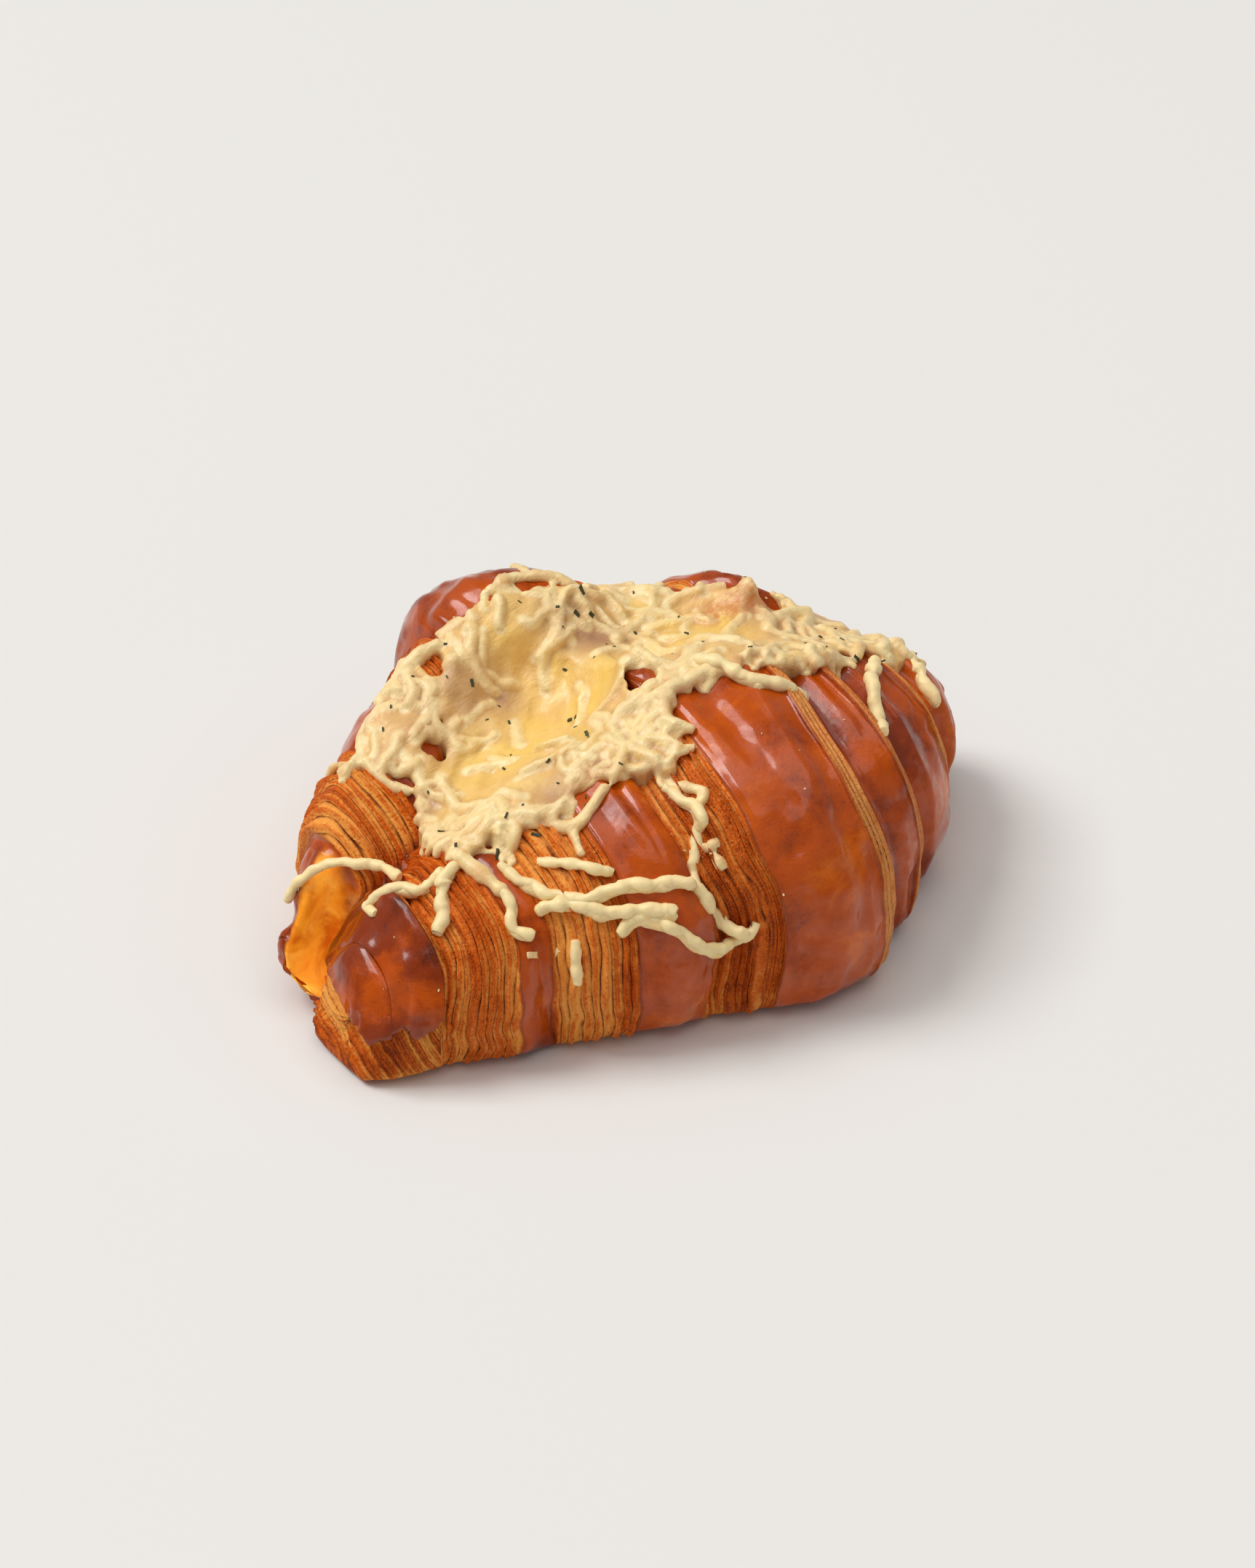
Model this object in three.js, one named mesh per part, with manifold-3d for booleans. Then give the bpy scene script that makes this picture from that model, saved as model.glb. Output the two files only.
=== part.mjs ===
// A filled savoury croissant, baked open: a front roll and a rear roll of laminated dough joined
// along the bottom, ham in the valley between them, melted cheese over both and grated strands on top.
// Millimetres, +Z up, +X along the croissant, origin under the middle of the box it fills.
import * as THREE from 'three';
import Module from 'manifold-3d';

const wasm = await Module();
wasm.setup();
const { Manifold, Mesh } = wasm;

// ---- driving sizes ----
const AROUND = 30; // facets round a roll
const CAP_RINGS = 4; // rings closing the end of a roll
const BETWEEN = 8; // longest step between rings along a roll
const AIR = 0.4; // gap left between pieces that touch
const HAM_THICK = 1.8;
const UNDER_HAM = 40;
const CHEESE_SKIN = 2.8; // cheese lying on the crests
const CHEESE_GRID = 4.8;
const STRAND_SIDES = 6;
const FOOT_FLAT = 2; // the dough stays flat on the tray up to here
const FOOT_BLEND = 10;

// Front roll, one row for each station along x:
// x, fan, lean, foot y, belly y, belly z, ridge y, ridge z, inner y, lift off the tray
const FRONT_ROLL = [
  [-75, 0.05, 0.36, -11, -13, 10, 0, 24, 10, 0.8],
  [-70, 0.05, 0.3, -14, -16, 12, 0, 29, 13, 0.6],
  [-60, 0.08, 0.12, -17, -20, 13, 0, 33, 15, 0.3],
  [-44, 0.12, 0.04, -24, -27, 16, -3, 38, 18, 0],
  [-30, 0.14, 0, -30, -33, 19, -5, 42, 20, 0],
  [-12, 0.14, 0, -38, -41, 21, -6, 48, 20, 0],
  [5, 0.14, 0, -46, -47, 24, -8, 53, 20, 0],
  [20, 0.16, 0, -51, -53, 23, -11, 55, 18, 0],
  [30, 0.12, 0, -52, -54, 22, -13, 55, 18, 0],
  [38, 0, 0, -46, -49, 22, -14, 54, 18, 0],
  [50, -0.06, 0, -38, -41, 21, -14, 49, 16, 0],
  [64, -0.12, 0, -28, -31, 20, -12, 43, 12, 0],
  [76, -0.15, 0, -18, -21, 19, -9, 35, 7, 0.6],
  [82, -0.15, 0, -12, -14, 17, -6, 29, 4, 2],
];
// Rear roll with the valley floor:
// x, floor front y, floor z, wall foot y, inner crest y, z, outer crest y, z, belly y, z, foot y, lift
const REAR_ROLL = [
  [-71, 15, 7, 19, 20, 15, 22, 16, 24, 10, 21, 5],
  [-65, 8, 4, 21, 22, 22, 25, 23, 28, 12, 25, 1],
  [-60, 4, 4, 22, 23, 26, 28, 28, 32, 13, 29, 0],
  [-56, 2, 5, 20, 15, 27, 30, 32, 36, 15, 33, 0],
  [-44, 0, 8, 22, 15, 32, 36, 39, 44, 19, 40, 0],
  [-28, -2, 16, 24, 25, 40, 43, 45, 53, 21, 49, 0],
  [-14, -4, 22, 28, 33, 46, 47, 50, 59, 23, 55, 0],
  [-4, -6, 25, 30, 38, 49, 53, 52, 65, 24, 60, 0],
  [8, -8, 28, 30, 36, 50, 50, 54, 66, 24, 61, 0],
  [20, -9, 31, 28, 30, 49, 43, 53, 61, 24, 56, 0],
  [34, -10, 33, 22, 22, 47, 34, 50, 51, 23, 46, 0],
  [48, -12, 33, 15, 14, 46, 25, 51, 41, 22, 36, 0],
  [62, -12, 32, 7, 4, 41, 12, 44, 25, 20, 21, 0],
  [72, -12, 24, -1, -3, 35, 3, 37, 14, 18, 11, 0.6],
  [78, -12, 15, -5, -5, 29, -1, 30, 8, 16, 6, 1.5],
];
// How far each stretch of dough stands proud of the roll: x, mm. A quick drop is a cut edge.
const FRONT_BANDS = [
  [-76, 0.6], [-72, 1], [-60.5, -0.8], [-59.5, -1], [-45, 0.9], [-43.5, 0.9], [-37.5, -0.6],
  [-36.5, -1], [-21, 1], [-19.5, 1.2], [-7, -0.8], [-5.5, -1.3], [6.5, 1.2], [8, 2], [18, 2.4],
  [30, 1.6], [31.2, 1.4], [32, -2.6], [43, 0.6], [44.2, 0.4], [45, -2.2], [63, 0.8], [64.2, 0.6],
  [65, -1.6], [76, 0.4], [84, 0],
];
const REAR_BANDS = [
  [-72, 0], [-58.5, 0], [-57, 0.8], [-41, -0.4], [-40, -0.9], [-27, 0.8], [-26, -0.6], [-11.5, 0.2],
  [-10.5, -0.8], [-8.5, 2.6], [2, 3.4], [20, 2], [22, 1.4], [23.2, -2], [40, -0.6], [42, 0.8],
  [46, 2], [55, 1.6], [57.5, 1], [58.5, -1.2], [70, 0.2], [80, 0],
];
// Rim of the melted cheese seen from above: x, y
const CHEESE_RIM = [
  [-45, 38], [-36, 44], [-27, 48], [-17, 51], [-9, 49], [0, 53], [9, 52], [19, 46], [28, 44],
  [37, 38], [46, 29], [54, 25], [62, 17], [69, 9], [75, 2], [77, -7], [70, -14], [62, -18],
  [54, -20], [47, -23], [41, -21], [34, -19], [27, -20], [22, -13], [17, -8], [9, -6], [3, -14],
  [-2, -20], [-7, -17], [-12, -9], [-17, -10], [-21, -14], [-27, -12], [-34, -9], [-40, -7],
  [-46, -2], [-47, 5], [-42, 13], [-35, 18], [-32, 24], [-36, 30], [-43, 33],
];
// Height of the cheese where it fills the valley: x, z
const FILL_HEIGHT = [[-50, 21], [-40, 27], [-30, 34], [-12, 40], [5, 44], [25, 48], [45, 48], [62, 43], [78, 32]];
// Strands of grated cheese: name, roll, [x, share of the way round in hundredths] along the strand
const STRANDS = [
  ['strand_horn_low', 'front', 1.4, [[-68, 57], [-71, 53], [-67, 50]]],
  ['strand_horn_top', 'front', 1.5, [[-64, 53], [-59, 51], [-55, 49], [-51, 50]]],
  ['strand_hook', 'front', 1.7, [[-50, 48], [-52, 47], [-55, 45], [-59, 43]]],
  ['strand_long_upper', 'front', 1.5, [[-38, 46], [-36, 43], [-33, 41], [-29, 39], [-20, 38], [-11, 36]]],
  ['strand_corner', 'front', 1.5, [[-43, 44], [-43, 41], [-44, 39], [-42, 37]]],
  ['strand_long_lower', 'front', 1.9, [[-36, 37], [-33, 37], [-29, 36], [-25, 34], [-19, 34], [-13, 32]]],
  ['strand_drooping', 'front', 1.6, [[-22, 29], [-19, 30], [-15, 29], [-11, 27], [-6, 24], [-1, 23], [2, 25]]],
  ['strand_steep', 'front', 1.5, [[0, 45], [0, 42], [-1, 40], [-5, 37], [-6, 34], [-4, 31]]],
  ['strand_middle', 'front', 1.3, [[-30, 45], [-26, 42], [-21, 41]]],
  ['strand_crest', 'front', 1.7, [[24, 45], [28, 46], [32, 45], [36, 43]]],
  ['strand_right', 'front', 1.6, [[51, 43], [47, 42], [42, 40]]],
  ['strand_end', 'front', 1.5, [[71, 44], [69, 42], [68, 38]]],
  ['strand_loose', 'front', 1.3, [[-32, 32], [-33, 30], [-34, 27]]],
];
// One strand hangs across the open left end, from the rear roll's rim to the front roll: x, y, z
const BRIDGE = [[-66, 28, 20], [-65, 25, 26], [-60, 22, 30], [-56, 16, 32], [-53, 11, 32], [-53, 6, 33]];
const BRIDGE_RADIUS = 1.5;

const mix = (a, b, t) => a + (b - a) * t;

// Straight-line reading of a short list of [x, value].
function along(list, x) {
  if (x <= list[0][0]) return list[0][1];
  for (let i = 1; i < list.length; i += 1) {
    const [x0, v0] = list[i - 1];
    const [x1, v1] = list[i];
    if (x <= x1) return mix(v0, v1, (x - x0) / (x1 - x0));
  }
  return list[list.length - 1][1];
}

// Smooth reading of the station rows with no overshoot between them.
function station(rows, x) {
  const last = rows.length - 1;
  let k = 0;
  while (k < last - 1 && x > rows[k + 1][0]) k += 1;
  const span = (i) => rows[i + 1][0] - rows[i][0];
  const rise = (i, c) => (rows[i + 1][c] - rows[i][c]) / span(i);
  const slope = (i, c) => {
    if (i === 0) return rise(0, c);
    if (i === last) return rise(last - 1, c);
    const before = rise(i - 1, c);
    const after = rise(i, c);
    if (before * after <= 0) return 0;
    const w1 = 2 * span(i) + span(i - 1);
    const w2 = span(i) + 2 * span(i - 1);
    return (w1 + w2) / (w1 / before + w2 / after);
  };
  const h = span(k);
  const t = (x - rows[k][0]) / h;
  const t2 = t * t;
  const t3 = t2 * t;
  return rows[k].map((_, c) => {
    if (c === 0) return x;
    return (2 * t3 - 3 * t2 + 1) * rows[k][c] + (t3 - 2 * t2 + t) * h * slope(k, c)
      + (3 * t2 - 2 * t3) * rows[k + 1][c] + (t3 - t2) * h * slope(k + 1, c);
  });
}

// Outline of the front roll across its length, starting under the front and going up the front side.
function frontOutline(row) {
  const [, , , foot, belly, zb, ridge, zr, inner, lift] = row;
  return [
    [mix(foot, inner, 0.22), lift], [mix(foot, inner, 0.02), lift + zr * 0.03],
    [mix(belly, foot, 0.35), mix(lift, zb, 0.45)], [belly, zb],
    [mix(belly, ridge, 0.1), mix(zb, zr, 0.45)], [mix(belly, ridge, 0.4), mix(zb, zr, 0.82)],
    [ridge, zr], [mix(ridge, inner, 0.48), mix(zr, lift, 0.1)],
    [mix(ridge, inner, 0.86), mix(zr, lift, 0.38)], [inner, mix(zr, lift, 0.66)],
    [mix(inner, ridge, 0.08), mix(zr, lift, 0.93)], [mix(foot, inner, 0.76), lift],
  ];
}

// Outline of the rear roll: valley floor, inner wall, crest, outer belly and back underneath.
function rearOutline(row) {
  const [, front, zf, wall, y1, z1, y2, z2, belly, zb, foot, lift] = row;
  return [
    [front, lift], [front - 2, mix(lift, zf, 0.6)], [mix(front, wall, 0.15), zf],
    [mix(front, wall, 0.72), zf], [wall, mix(zf, z1, 0.12)],
    [mix(wall, y1, 0.7), mix(zf, z1, 0.6)], [y1, z1],
    [mix(y1, y2, 0.5), mix(z1, z2, 0.75) + 0.06 * (z2 - zf)], [y2, z2],
    [mix(y2, belly, 0.62), mix(z2, zb, 0.3)], [belly, mix(z2, zb, 0.85)],
    [belly, mix(lift, zb, 0.65)], [foot, lift + 0.03 * z2], [mix(foot, front, 0.25), lift],
    [mix(foot, front, 0.6), lift],
  ];
}

// Smooth closed curve through the outline's corners, read at share v of the way round.
function round(corners, v) {
  const n = corners.length;
  const f = (((v % 1) + 1) % 1) * n;
  const k = Math.floor(f) % n;
  const t = f - Math.floor(f);
  const [p0, p1, p2, p3] = [k + n - 1, k, k + 1, k + 2].map((i) => corners[i % n]);
  return [0, 1].map((c) => 0.5 * (2 * p1[c] + (p2[c] - p0[c]) * t
    + (2 * p0[c] - 5 * p1[c] + 4 * p2[c] - p3[c]) * t * t
    + (3 * p1[c] - p0[c] - 3 * p2[c] + p3[c]) * t * t * t));
}

const ROLLS = {
  front: { rows: FRONT_ROLL, outline: frontOutline, bands: FRONT_BANDS, ridge: 6, fan: 1, lean: 2, ends: [3, 4] },
  rear: { rows: REAR_ROLL, outline: rearOutline, bands: REAR_BANDS, ridge: 4, fan: 0, lean: 0, ends: [1.5, 4] },
};

// Point on a roll, grown outward by `more`.
function skin(roll, x, v, more = 0) {
  const row = station(roll.rows, x);
  const corners = roll.outline(row);
  const step = 0.01;
  const [y, z] = round(corners, v);
  const [ya, za] = round(corners, v - step);
  const [yb, zb] = round(corners, v + step);
  const size = Math.hypot(yb - ya, zb - za) + 1e-9;
  const foot = Math.min(Math.max((z - FOOT_FLAT) / FOOT_BLEND, 0), 1);
  const out = along(roll.bands, x) * foot + more;
  const yy = y - ((zb - za) / size) * out;
  const zz = Math.max(z + ((yb - ya) / size) * out, -more);
  const fan = roll.fan ? row[roll.fan] * (yy - row[roll.ridge]) : 0;
  const lean = roll.lean ? row[roll.lean] * zz : 0;
  return new THREE.Vector3(x + fan + lean, yy, zz);
}

// Closed geometry from rings of points with a single point at either end.
function closeRings(rings, start, end) {
  const n = rings[0].length;
  const points = [start, ...rings.flat(), end];
  const index = [];
  const at = (r, k) => 1 + r * n + (k % n);
  for (let k = 0; k < n; k += 1) {
    index.push(0, at(0, k), at(0, k + 1));
    for (let r = 0; r + 1 < rings.length; r += 1) {
      index.push(at(r, k), at(r + 1, k), at(r + 1, k + 1), at(r, k), at(r + 1, k + 1), at(r, k + 1));
    }
    index.push(points.length - 1, at(rings.length - 1, k + 1), at(rings.length - 1, k));
  }
  return solid(points, index);
}

// Manifold body with its faces turned outward.
function solid(points, index) {
  const vertProperties = new Float32Array(points.flatMap((p) => [p.x, p.y, p.z]));
  const build = (tri) => new Manifold(new Mesh({ numProp: 3, vertProperties, triVerts: new Uint32Array(tri) }));
  const body = build(index);
  if (body.volume() > 0) return body;
  const turned = [];
  for (let i = 0; i < index.length; i += 3) turned.push(index[i], index[i + 2], index[i + 1]);
  return build(turned);
}

// Ring positions: every band edge, with extra rings where the bands are long.
function stops(roll) {
  const first = roll.rows[0][0];
  const last = roll.rows[roll.rows.length - 1][0];
  const edges = [first, ...roll.bands.map((b) => b[0]).filter((x) => x > first && x < last), last];
  const list = [first];
  for (let i = 1; i < edges.length; i += 1) {
    const gap = edges[i] - edges[i - 1];
    const parts = Math.ceil(gap / BETWEEN);
    for (let k = 1; k <= parts; k += 1) list.push(edges[i - 1] + (gap * k) / parts);
  }
  return list;
}

function rollBody(roll, more = 0) {
  const rings = stops(roll).map((x) => {
    const ring = [];
    for (let k = 0; k < AROUND; k += 1) ring.push(skin(roll, x, k / AROUND, more));
    return ring;
  });
  const middle = (ring) => {
    const zs = ring.map((p) => p.z);
    const c = ring.reduce((s, p) => s.add(p), new THREE.Vector3()).divideScalar(ring.length);
    c.z = (Math.min(...zs) + Math.max(...zs)) / 2;
    return c;
  };
  const end = (ring, side, depth) => {
    const c = middle(ring);
    const list = [];
    for (let s = 1; s < CAP_RINGS; s += 1) {
      const angle = (s / CAP_RINGS) * Math.PI * 0.5;
      const shrink = Math.cos(angle) ** 0.7;
      const push = side * (depth + more) * Math.sin(angle);
      list.push(ring.map((p) => c.clone().lerp(p, shrink).add(new THREE.Vector3(push, 0, 0))));
    }
    return { list, tip: c.clone().add(new THREE.Vector3(side * (depth + more), 0, 0)) };
  };
  const left = end(rings[0], -1, roll.ends[0]);
  const right = end(rings[rings.length - 1], 1, roll.ends[1]);
  return closeRings([...left.list.reverse(), ...rings, ...right.list], left.tip, right.tip);
}

// The largest single body, so that a node never carries loose crumbs.
function largest(body) {
  return body.decompose().sort((a, b) => b.volume() - a.volume())[0];
}

const dough = largest(Manifold.union(rollBody(ROLLS.front), rollBody(ROLLS.rear)));
const doughGrown = Manifold.union(rollBody(ROLLS.front, AIR), rollBody(ROLLS.rear, AIR));

// ---- height of the dough seen from above, read off its faces onto a square grid ----
const GRID = { x0: -90, y0: -70, step: 2, nx: 92, ny: 76 };
const EDGE = 0.01; // a grid point this near a face's edge still counts as on it
function heightMap(body) {
  const m = body.getMesh();
  const map = new Float32Array(GRID.nx * GRID.ny);
  const corner = (i) => [0, 1, 2].map((c) => m.vertProperties[m.triVerts[i] * m.numProp + c]);
  for (let t = 0; t < m.triVerts.length; t += 3) {
    const [a, b, c] = [corner(t), corner(t + 1), corner(t + 2)];
    const area = (b[0] - a[0]) * (c[1] - a[1]) - (b[1] - a[1]) * (c[0] - a[0]);
    if (area <= 1e-6) continue;
    const range = (axis, origin, count) => {
      const low = Math.floor((Math.min(a[axis], b[axis], c[axis]) - origin) / GRID.step);
      const high = Math.ceil((Math.max(a[axis], b[axis], c[axis]) - origin) / GRID.step);
      return [Math.max(low, 0), Math.min(high, count - 1)];
    };
    const [i0, i1] = range(0, GRID.x0, GRID.nx);
    const [j0, j1] = range(1, GRID.y0, GRID.ny);
    for (let i = i0; i <= i1; i += 1) {
      for (let j = j0; j <= j1; j += 1) {
        const x = GRID.x0 + i * GRID.step;
        const y = GRID.y0 + j * GRID.step;
        const wb = ((x - a[0]) * (c[1] - a[1]) - (y - a[1]) * (c[0] - a[0])) / area;
        const wc = ((b[0] - a[0]) * (y - a[1]) - (b[1] - a[1]) * (x - a[0])) / area;
        if (wb < -EDGE || wc < -EDGE || wb + wc > 1 + EDGE) continue;
        const z = a[2] + wb * (b[2] - a[2]) + wc * (c[2] - a[2]);
        map[i * GRID.ny + j] = Math.max(map[i * GRID.ny + j], z);
      }
    }
  }
  return map;
}
const doughHeight = heightMap(dough);
function topOf(x, y) {
  const fx = Math.min(Math.max((x - GRID.x0) / GRID.step, 0), GRID.nx - 2);
  const fy = Math.min(Math.max((y - GRID.y0) / GRID.step, 0), GRID.ny - 2);
  const i = Math.floor(fx);
  const j = Math.floor(fy);
  const h = (a, b) => doughHeight[a * GRID.ny + b];
  return mix(mix(h(i, j), h(i + 1, j), fx - i), mix(h(i, j + 1), h(i + 1, j + 1), fx - i), fy - j);
}

// Closed sheet over a grid of (x, y), between two heights.
function sheet(xs, ys, bottom, top) {
  const points = [];
  const index = [];
  const ny = ys.length;
  const layer = xs.length * ny;
  [bottom, top].forEach((height) => {
    xs.forEach((x) => ys.forEach((y) => points.push(new THREE.Vector3(x, y, height(x, y)))));
  });
  const at = (side, i, j) => side * layer + i * ny + j;
  const quad = (a, b, c, d) => index.push(a, b, c, a, c, d);
  for (let i = 0; i + 1 < xs.length; i += 1) {
    for (let j = 0; j + 1 < ny; j += 1) {
      quad(at(0, i, j), at(0, i, j + 1), at(0, i + 1, j + 1), at(0, i + 1, j));
      quad(at(1, i, j), at(1, i + 1, j), at(1, i + 1, j + 1), at(1, i, j + 1));
    }
    quad(at(0, i, 0), at(0, i + 1, 0), at(1, i + 1, 0), at(1, i, 0));
    quad(at(0, i, ny - 1), at(1, i, ny - 1), at(1, i + 1, ny - 1), at(0, i + 1, ny - 1));
  }
  for (let j = 0; j + 1 < ny; j += 1) {
    quad(at(0, 0, j), at(1, 0, j), at(1, 0, j + 1), at(0, 0, j + 1));
    quad(at(0, xs.length - 1, j), at(0, xs.length - 1, j + 1), at(1, xs.length - 1, j + 1), at(1, xs.length - 1, j));
  }
  return solid(points, index);
}
const steps = (from, to, size) => {
  const count = Math.max(1, Math.round((to - from) / size));
  return Array.from({ length: count + 1 }, (_, k) => mix(from, to, k / count));
};

// ---- ham: a thin folded slice lying along the valley ----
const HAM = { from: -47, to: 62, step: 5.5 };
function hamBody(under = 0, around = 0) {
  const places = steps(HAM.from, HAM.to, HAM.step);
  const rings = places.map((x, i) => {
    const row = station(REAR_ROLL, x);
    const [low, wall, floor] = [mix(row[1], row[3], 0.5), row[3], row[2]];
    const lengths = steps(0, 1, 0.2);
    const past = i === 0 ? -around : around * (i === places.length - 1);
    const edge = (rise) => lengths.map((t, k) => {
      const side = k === 0 ? -around : around * (k === lengths.length - 1);
      const y = mix(low + 3, wall - 1.5, t) + side;
      const wave = 1.1 * Math.sin(x * 0.33 + t * 4) + 5 * Math.max(t - 0.55, 0);
      return new THREE.Vector3(x + past, y, floor + 2.6 + wave + rise);
    });
    return [...edge(-under), ...edge(HAM_THICK + around).reverse()];
  });
  const middle = (ring) => ring.reduce((s, p) => s.add(p), new THREE.Vector3()).divideScalar(ring.length);
  return closeRings(rings, middle(rings[0]), middle(rings[rings.length - 1]));
}
const ham = largest(hamBody().subtract(doughGrown));
const hamRoom = hamBody(UNDER_HAM, AIR * 2); // nothing but ham between here and the valley floor

// ---- melted cheese: a blanket over both crests that sinks into the valley ----
const NEARBY = [[0, 0], [1, 0], [-1, 0], [0, 1], [0, -1], [0.7, 0.7], [0.7, -0.7], [-0.7, 0.7], [-0.7, -0.7]];
function cheeseTop(x, y) {
  const around = (reach) => NEARBY.map(([dx, dy]) => topOf(x + dx * reach, y + dy * reach));
  const softened = around(4).reduce((sum, z) => sum + z, 0) / NEARBY.length;
  const crest = Math.max(softened + CHEESE_SKIN, Math.max(...around(2.4)) + CHEESE_SKIN * 0.4);
  const fill = along(FILL_HEIGHT, x);
  const lumps = 0.5 * Math.sin(x * 0.42 + 1) * Math.sin(y * 0.5) + 0.3 * Math.sin(x * 0.9 - y * 0.7);
  const blend = 4;
  const gap = Math.min(Math.max(0.5 + (crest - fill) / (2 * blend), 0), 1);
  return mix(fill, crest, gap) + blend * gap * (1 - gap) + lumps;
}
function cheeseBody() {
  const rim = new THREE.CatmullRomCurve3(CHEESE_RIM.map(([x, y]) => new THREE.Vector3(x, y, 0)), true);
  const around = rim.getPoints(CHEESE_RIM.length * 2).slice(0, -1).reverse();
  const tall = 70;
  const lower = around.map((p) => p.clone());
  const upper = around.map((p) => new THREE.Vector3(p.x, p.y, tall));
  const flat = around.map((p) => new THREE.Vector2(p.x, p.y));
  const index = [];
  THREE.ShapeUtils.triangulateShape(flat, []).forEach(([a, b, c]) => {
    index.push(a, c, b, around.length + a, around.length + b, around.length + c);
  });
  around.forEach((_, k) => {
    const n = (k + 1) % around.length;
    index.push(k, n, around.length + n, k, around.length + n, around.length + k);
  });
  const cutter = solid([...lower, ...upper], index);
  const block = sheet(steps(-50, 82, CHEESE_GRID), steps(-26, 58, CHEESE_GRID), () => 3, cheeseTop);
  return block.intersect(cutter).subtract(doughGrown).subtract(hamRoom);
}
const cheese = largest(cheeseBody());
const cheeseRoom = [[AIR, 0], [-AIR, 0], [0, AIR], [0, -AIR]]
  .reduce((sum, [dx, dy]) => sum.add(cheese.translate([dx, dy, AIR * 0.6])), cheese);
const solidRoom = doughGrown.add(cheeseRoom);

// ---- grated strands melted onto the dough ----
function strandBody(radius, course) {
  const path = new THREE.CatmullRomCurve3(course);
  const count = Math.max(5, Math.round(path.getLength() / 3));
  const frames = path.computeFrenetFrames(count, false);
  const rings = [];
  for (let i = 0; i <= count; i += 1) {
    const t = i / count;
    const taper = 0.62 + 0.38 * Math.min(1, 5 * Math.min(t, 1 - t));
    const wide = radius * taper * (1 + 0.12 * Math.sin(i * 2.3 + radius * 9));
    const centre = path.getPointAt(t);
    rings.push(Array.from({ length: STRAND_SIDES }, (_, k) => {
      const angle = (k / STRAND_SIDES) * Math.PI * 2;
      return centre.clone()
        .addScaledVector(frames.normals[i], Math.cos(angle) * wide)
        .addScaledVector(frames.binormals[i], Math.sin(angle) * wide);
    }));
  }
  const start = path.getPointAt(0).addScaledVector(frames.tangents[0], -radius * 0.5);
  const end = path.getPointAt(1).addScaledVector(frames.tangents[count], radius * 0.5);
  return closeRings(rings, start, end);
}

const croissant = new THREE.Group();
croissant.name = 'croissant';

function place(name, body, colour, roughness) {
  const m = body.getMesh();
  const flat = new THREE.BufferGeometry();
  const positions = new Float32Array((m.vertProperties.length / m.numProp) * 3);
  for (let i = 0; i < positions.length; i += 1) {
    positions[i] = m.vertProperties[Math.floor(i / 3) * m.numProp + (i % 3)];
  }
  flat.setAttribute('position', new THREE.BufferAttribute(positions, 3));
  flat.setIndex(new THREE.BufferAttribute(new Uint32Array(m.triVerts), 1));
  flat.computeVertexNormals();
  const piece = new THREE.Mesh(flat, new THREE.MeshStandardMaterial({ color: colour, roughness, metalness: 0 }));
  piece.name = name;
  croissant.add(piece);
}

place('pastry', dough, 0xb0622a, 0.35);
place('ham_slice', ham, 0xe0a090, 0.45);
place('melted_cheese', cheese, 0xecd08a, 0.45);
const bridge = BRIDGE.map((p) => new THREE.Vector3(...p));
const resting = STRANDS.map(([name, roll, radius, course]) => {
  const sunk = AIR + 0.65 * radius;
  return [name, radius, course.map(([x, v]) => skin(ROLLS[roll], x, v / 100, sunk))];
});
[['strand_bridge', BRIDGE_RADIUS, bridge], ...resting].forEach(([name, radius, course]) => {
  const strand = largest(strandBody(radius, course).subtract(solidRoom));
  place(name, strand, 0xf2e2b4, 0.5);
});

// The middle of the box the croissant fills goes over the origin, its foot on z = 0.
const box = new THREE.Box3().setFromObject(croissant);
const shift = new THREE.Vector3(-(box.min.x + box.max.x) / 2, -(box.min.y + box.max.y) / 2, -box.min.z);
croissant.children.forEach((piece) => piece.geometry.translate(shift.x, shift.y, shift.z));

export default croissant;
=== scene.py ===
import math

import bmesh
import bpy
import numpy as np
from mathutils import Euler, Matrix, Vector
from mathutils.bvhtree import BVHTree
from mathutils.kdtree import KDTree


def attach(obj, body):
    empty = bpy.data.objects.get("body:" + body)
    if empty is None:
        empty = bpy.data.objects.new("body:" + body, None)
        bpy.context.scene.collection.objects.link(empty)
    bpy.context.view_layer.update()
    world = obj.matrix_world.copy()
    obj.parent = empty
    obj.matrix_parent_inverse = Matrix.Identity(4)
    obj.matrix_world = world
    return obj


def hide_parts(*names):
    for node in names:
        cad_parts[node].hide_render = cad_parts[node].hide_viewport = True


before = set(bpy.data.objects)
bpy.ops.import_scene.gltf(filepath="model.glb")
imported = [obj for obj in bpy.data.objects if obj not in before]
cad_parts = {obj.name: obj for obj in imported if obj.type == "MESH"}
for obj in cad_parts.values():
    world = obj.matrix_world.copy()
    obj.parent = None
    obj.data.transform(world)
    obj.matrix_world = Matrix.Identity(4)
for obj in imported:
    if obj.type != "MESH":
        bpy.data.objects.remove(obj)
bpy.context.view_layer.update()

MM = 0.001
SHIFT = np.array([-4.95, -6.98, 0.0])  # puts the middle of the croissant's box over the origin
COARSER = 1.0
RING_GAPS = (0.185 * COARSER, 0.52 * COARSER)  # between rings, where layers show and where they don't
AROUND = 140  # points round a roll
GIRTH = 160  # a turn round a roll counts as this long where noise runs round it
WRAP_UNIT = 100  # millimetres of dough to one unit of the wrap
VOXEL = 0.52  # grain of the melted cheese
PATH_STEP = 0.45  # between points along a laid strand
BARE_DEPTH = 14  # how far a bare patch pushes the cheese's edge back at its middle
DOWN = Vector((0, 0, -1))

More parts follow.
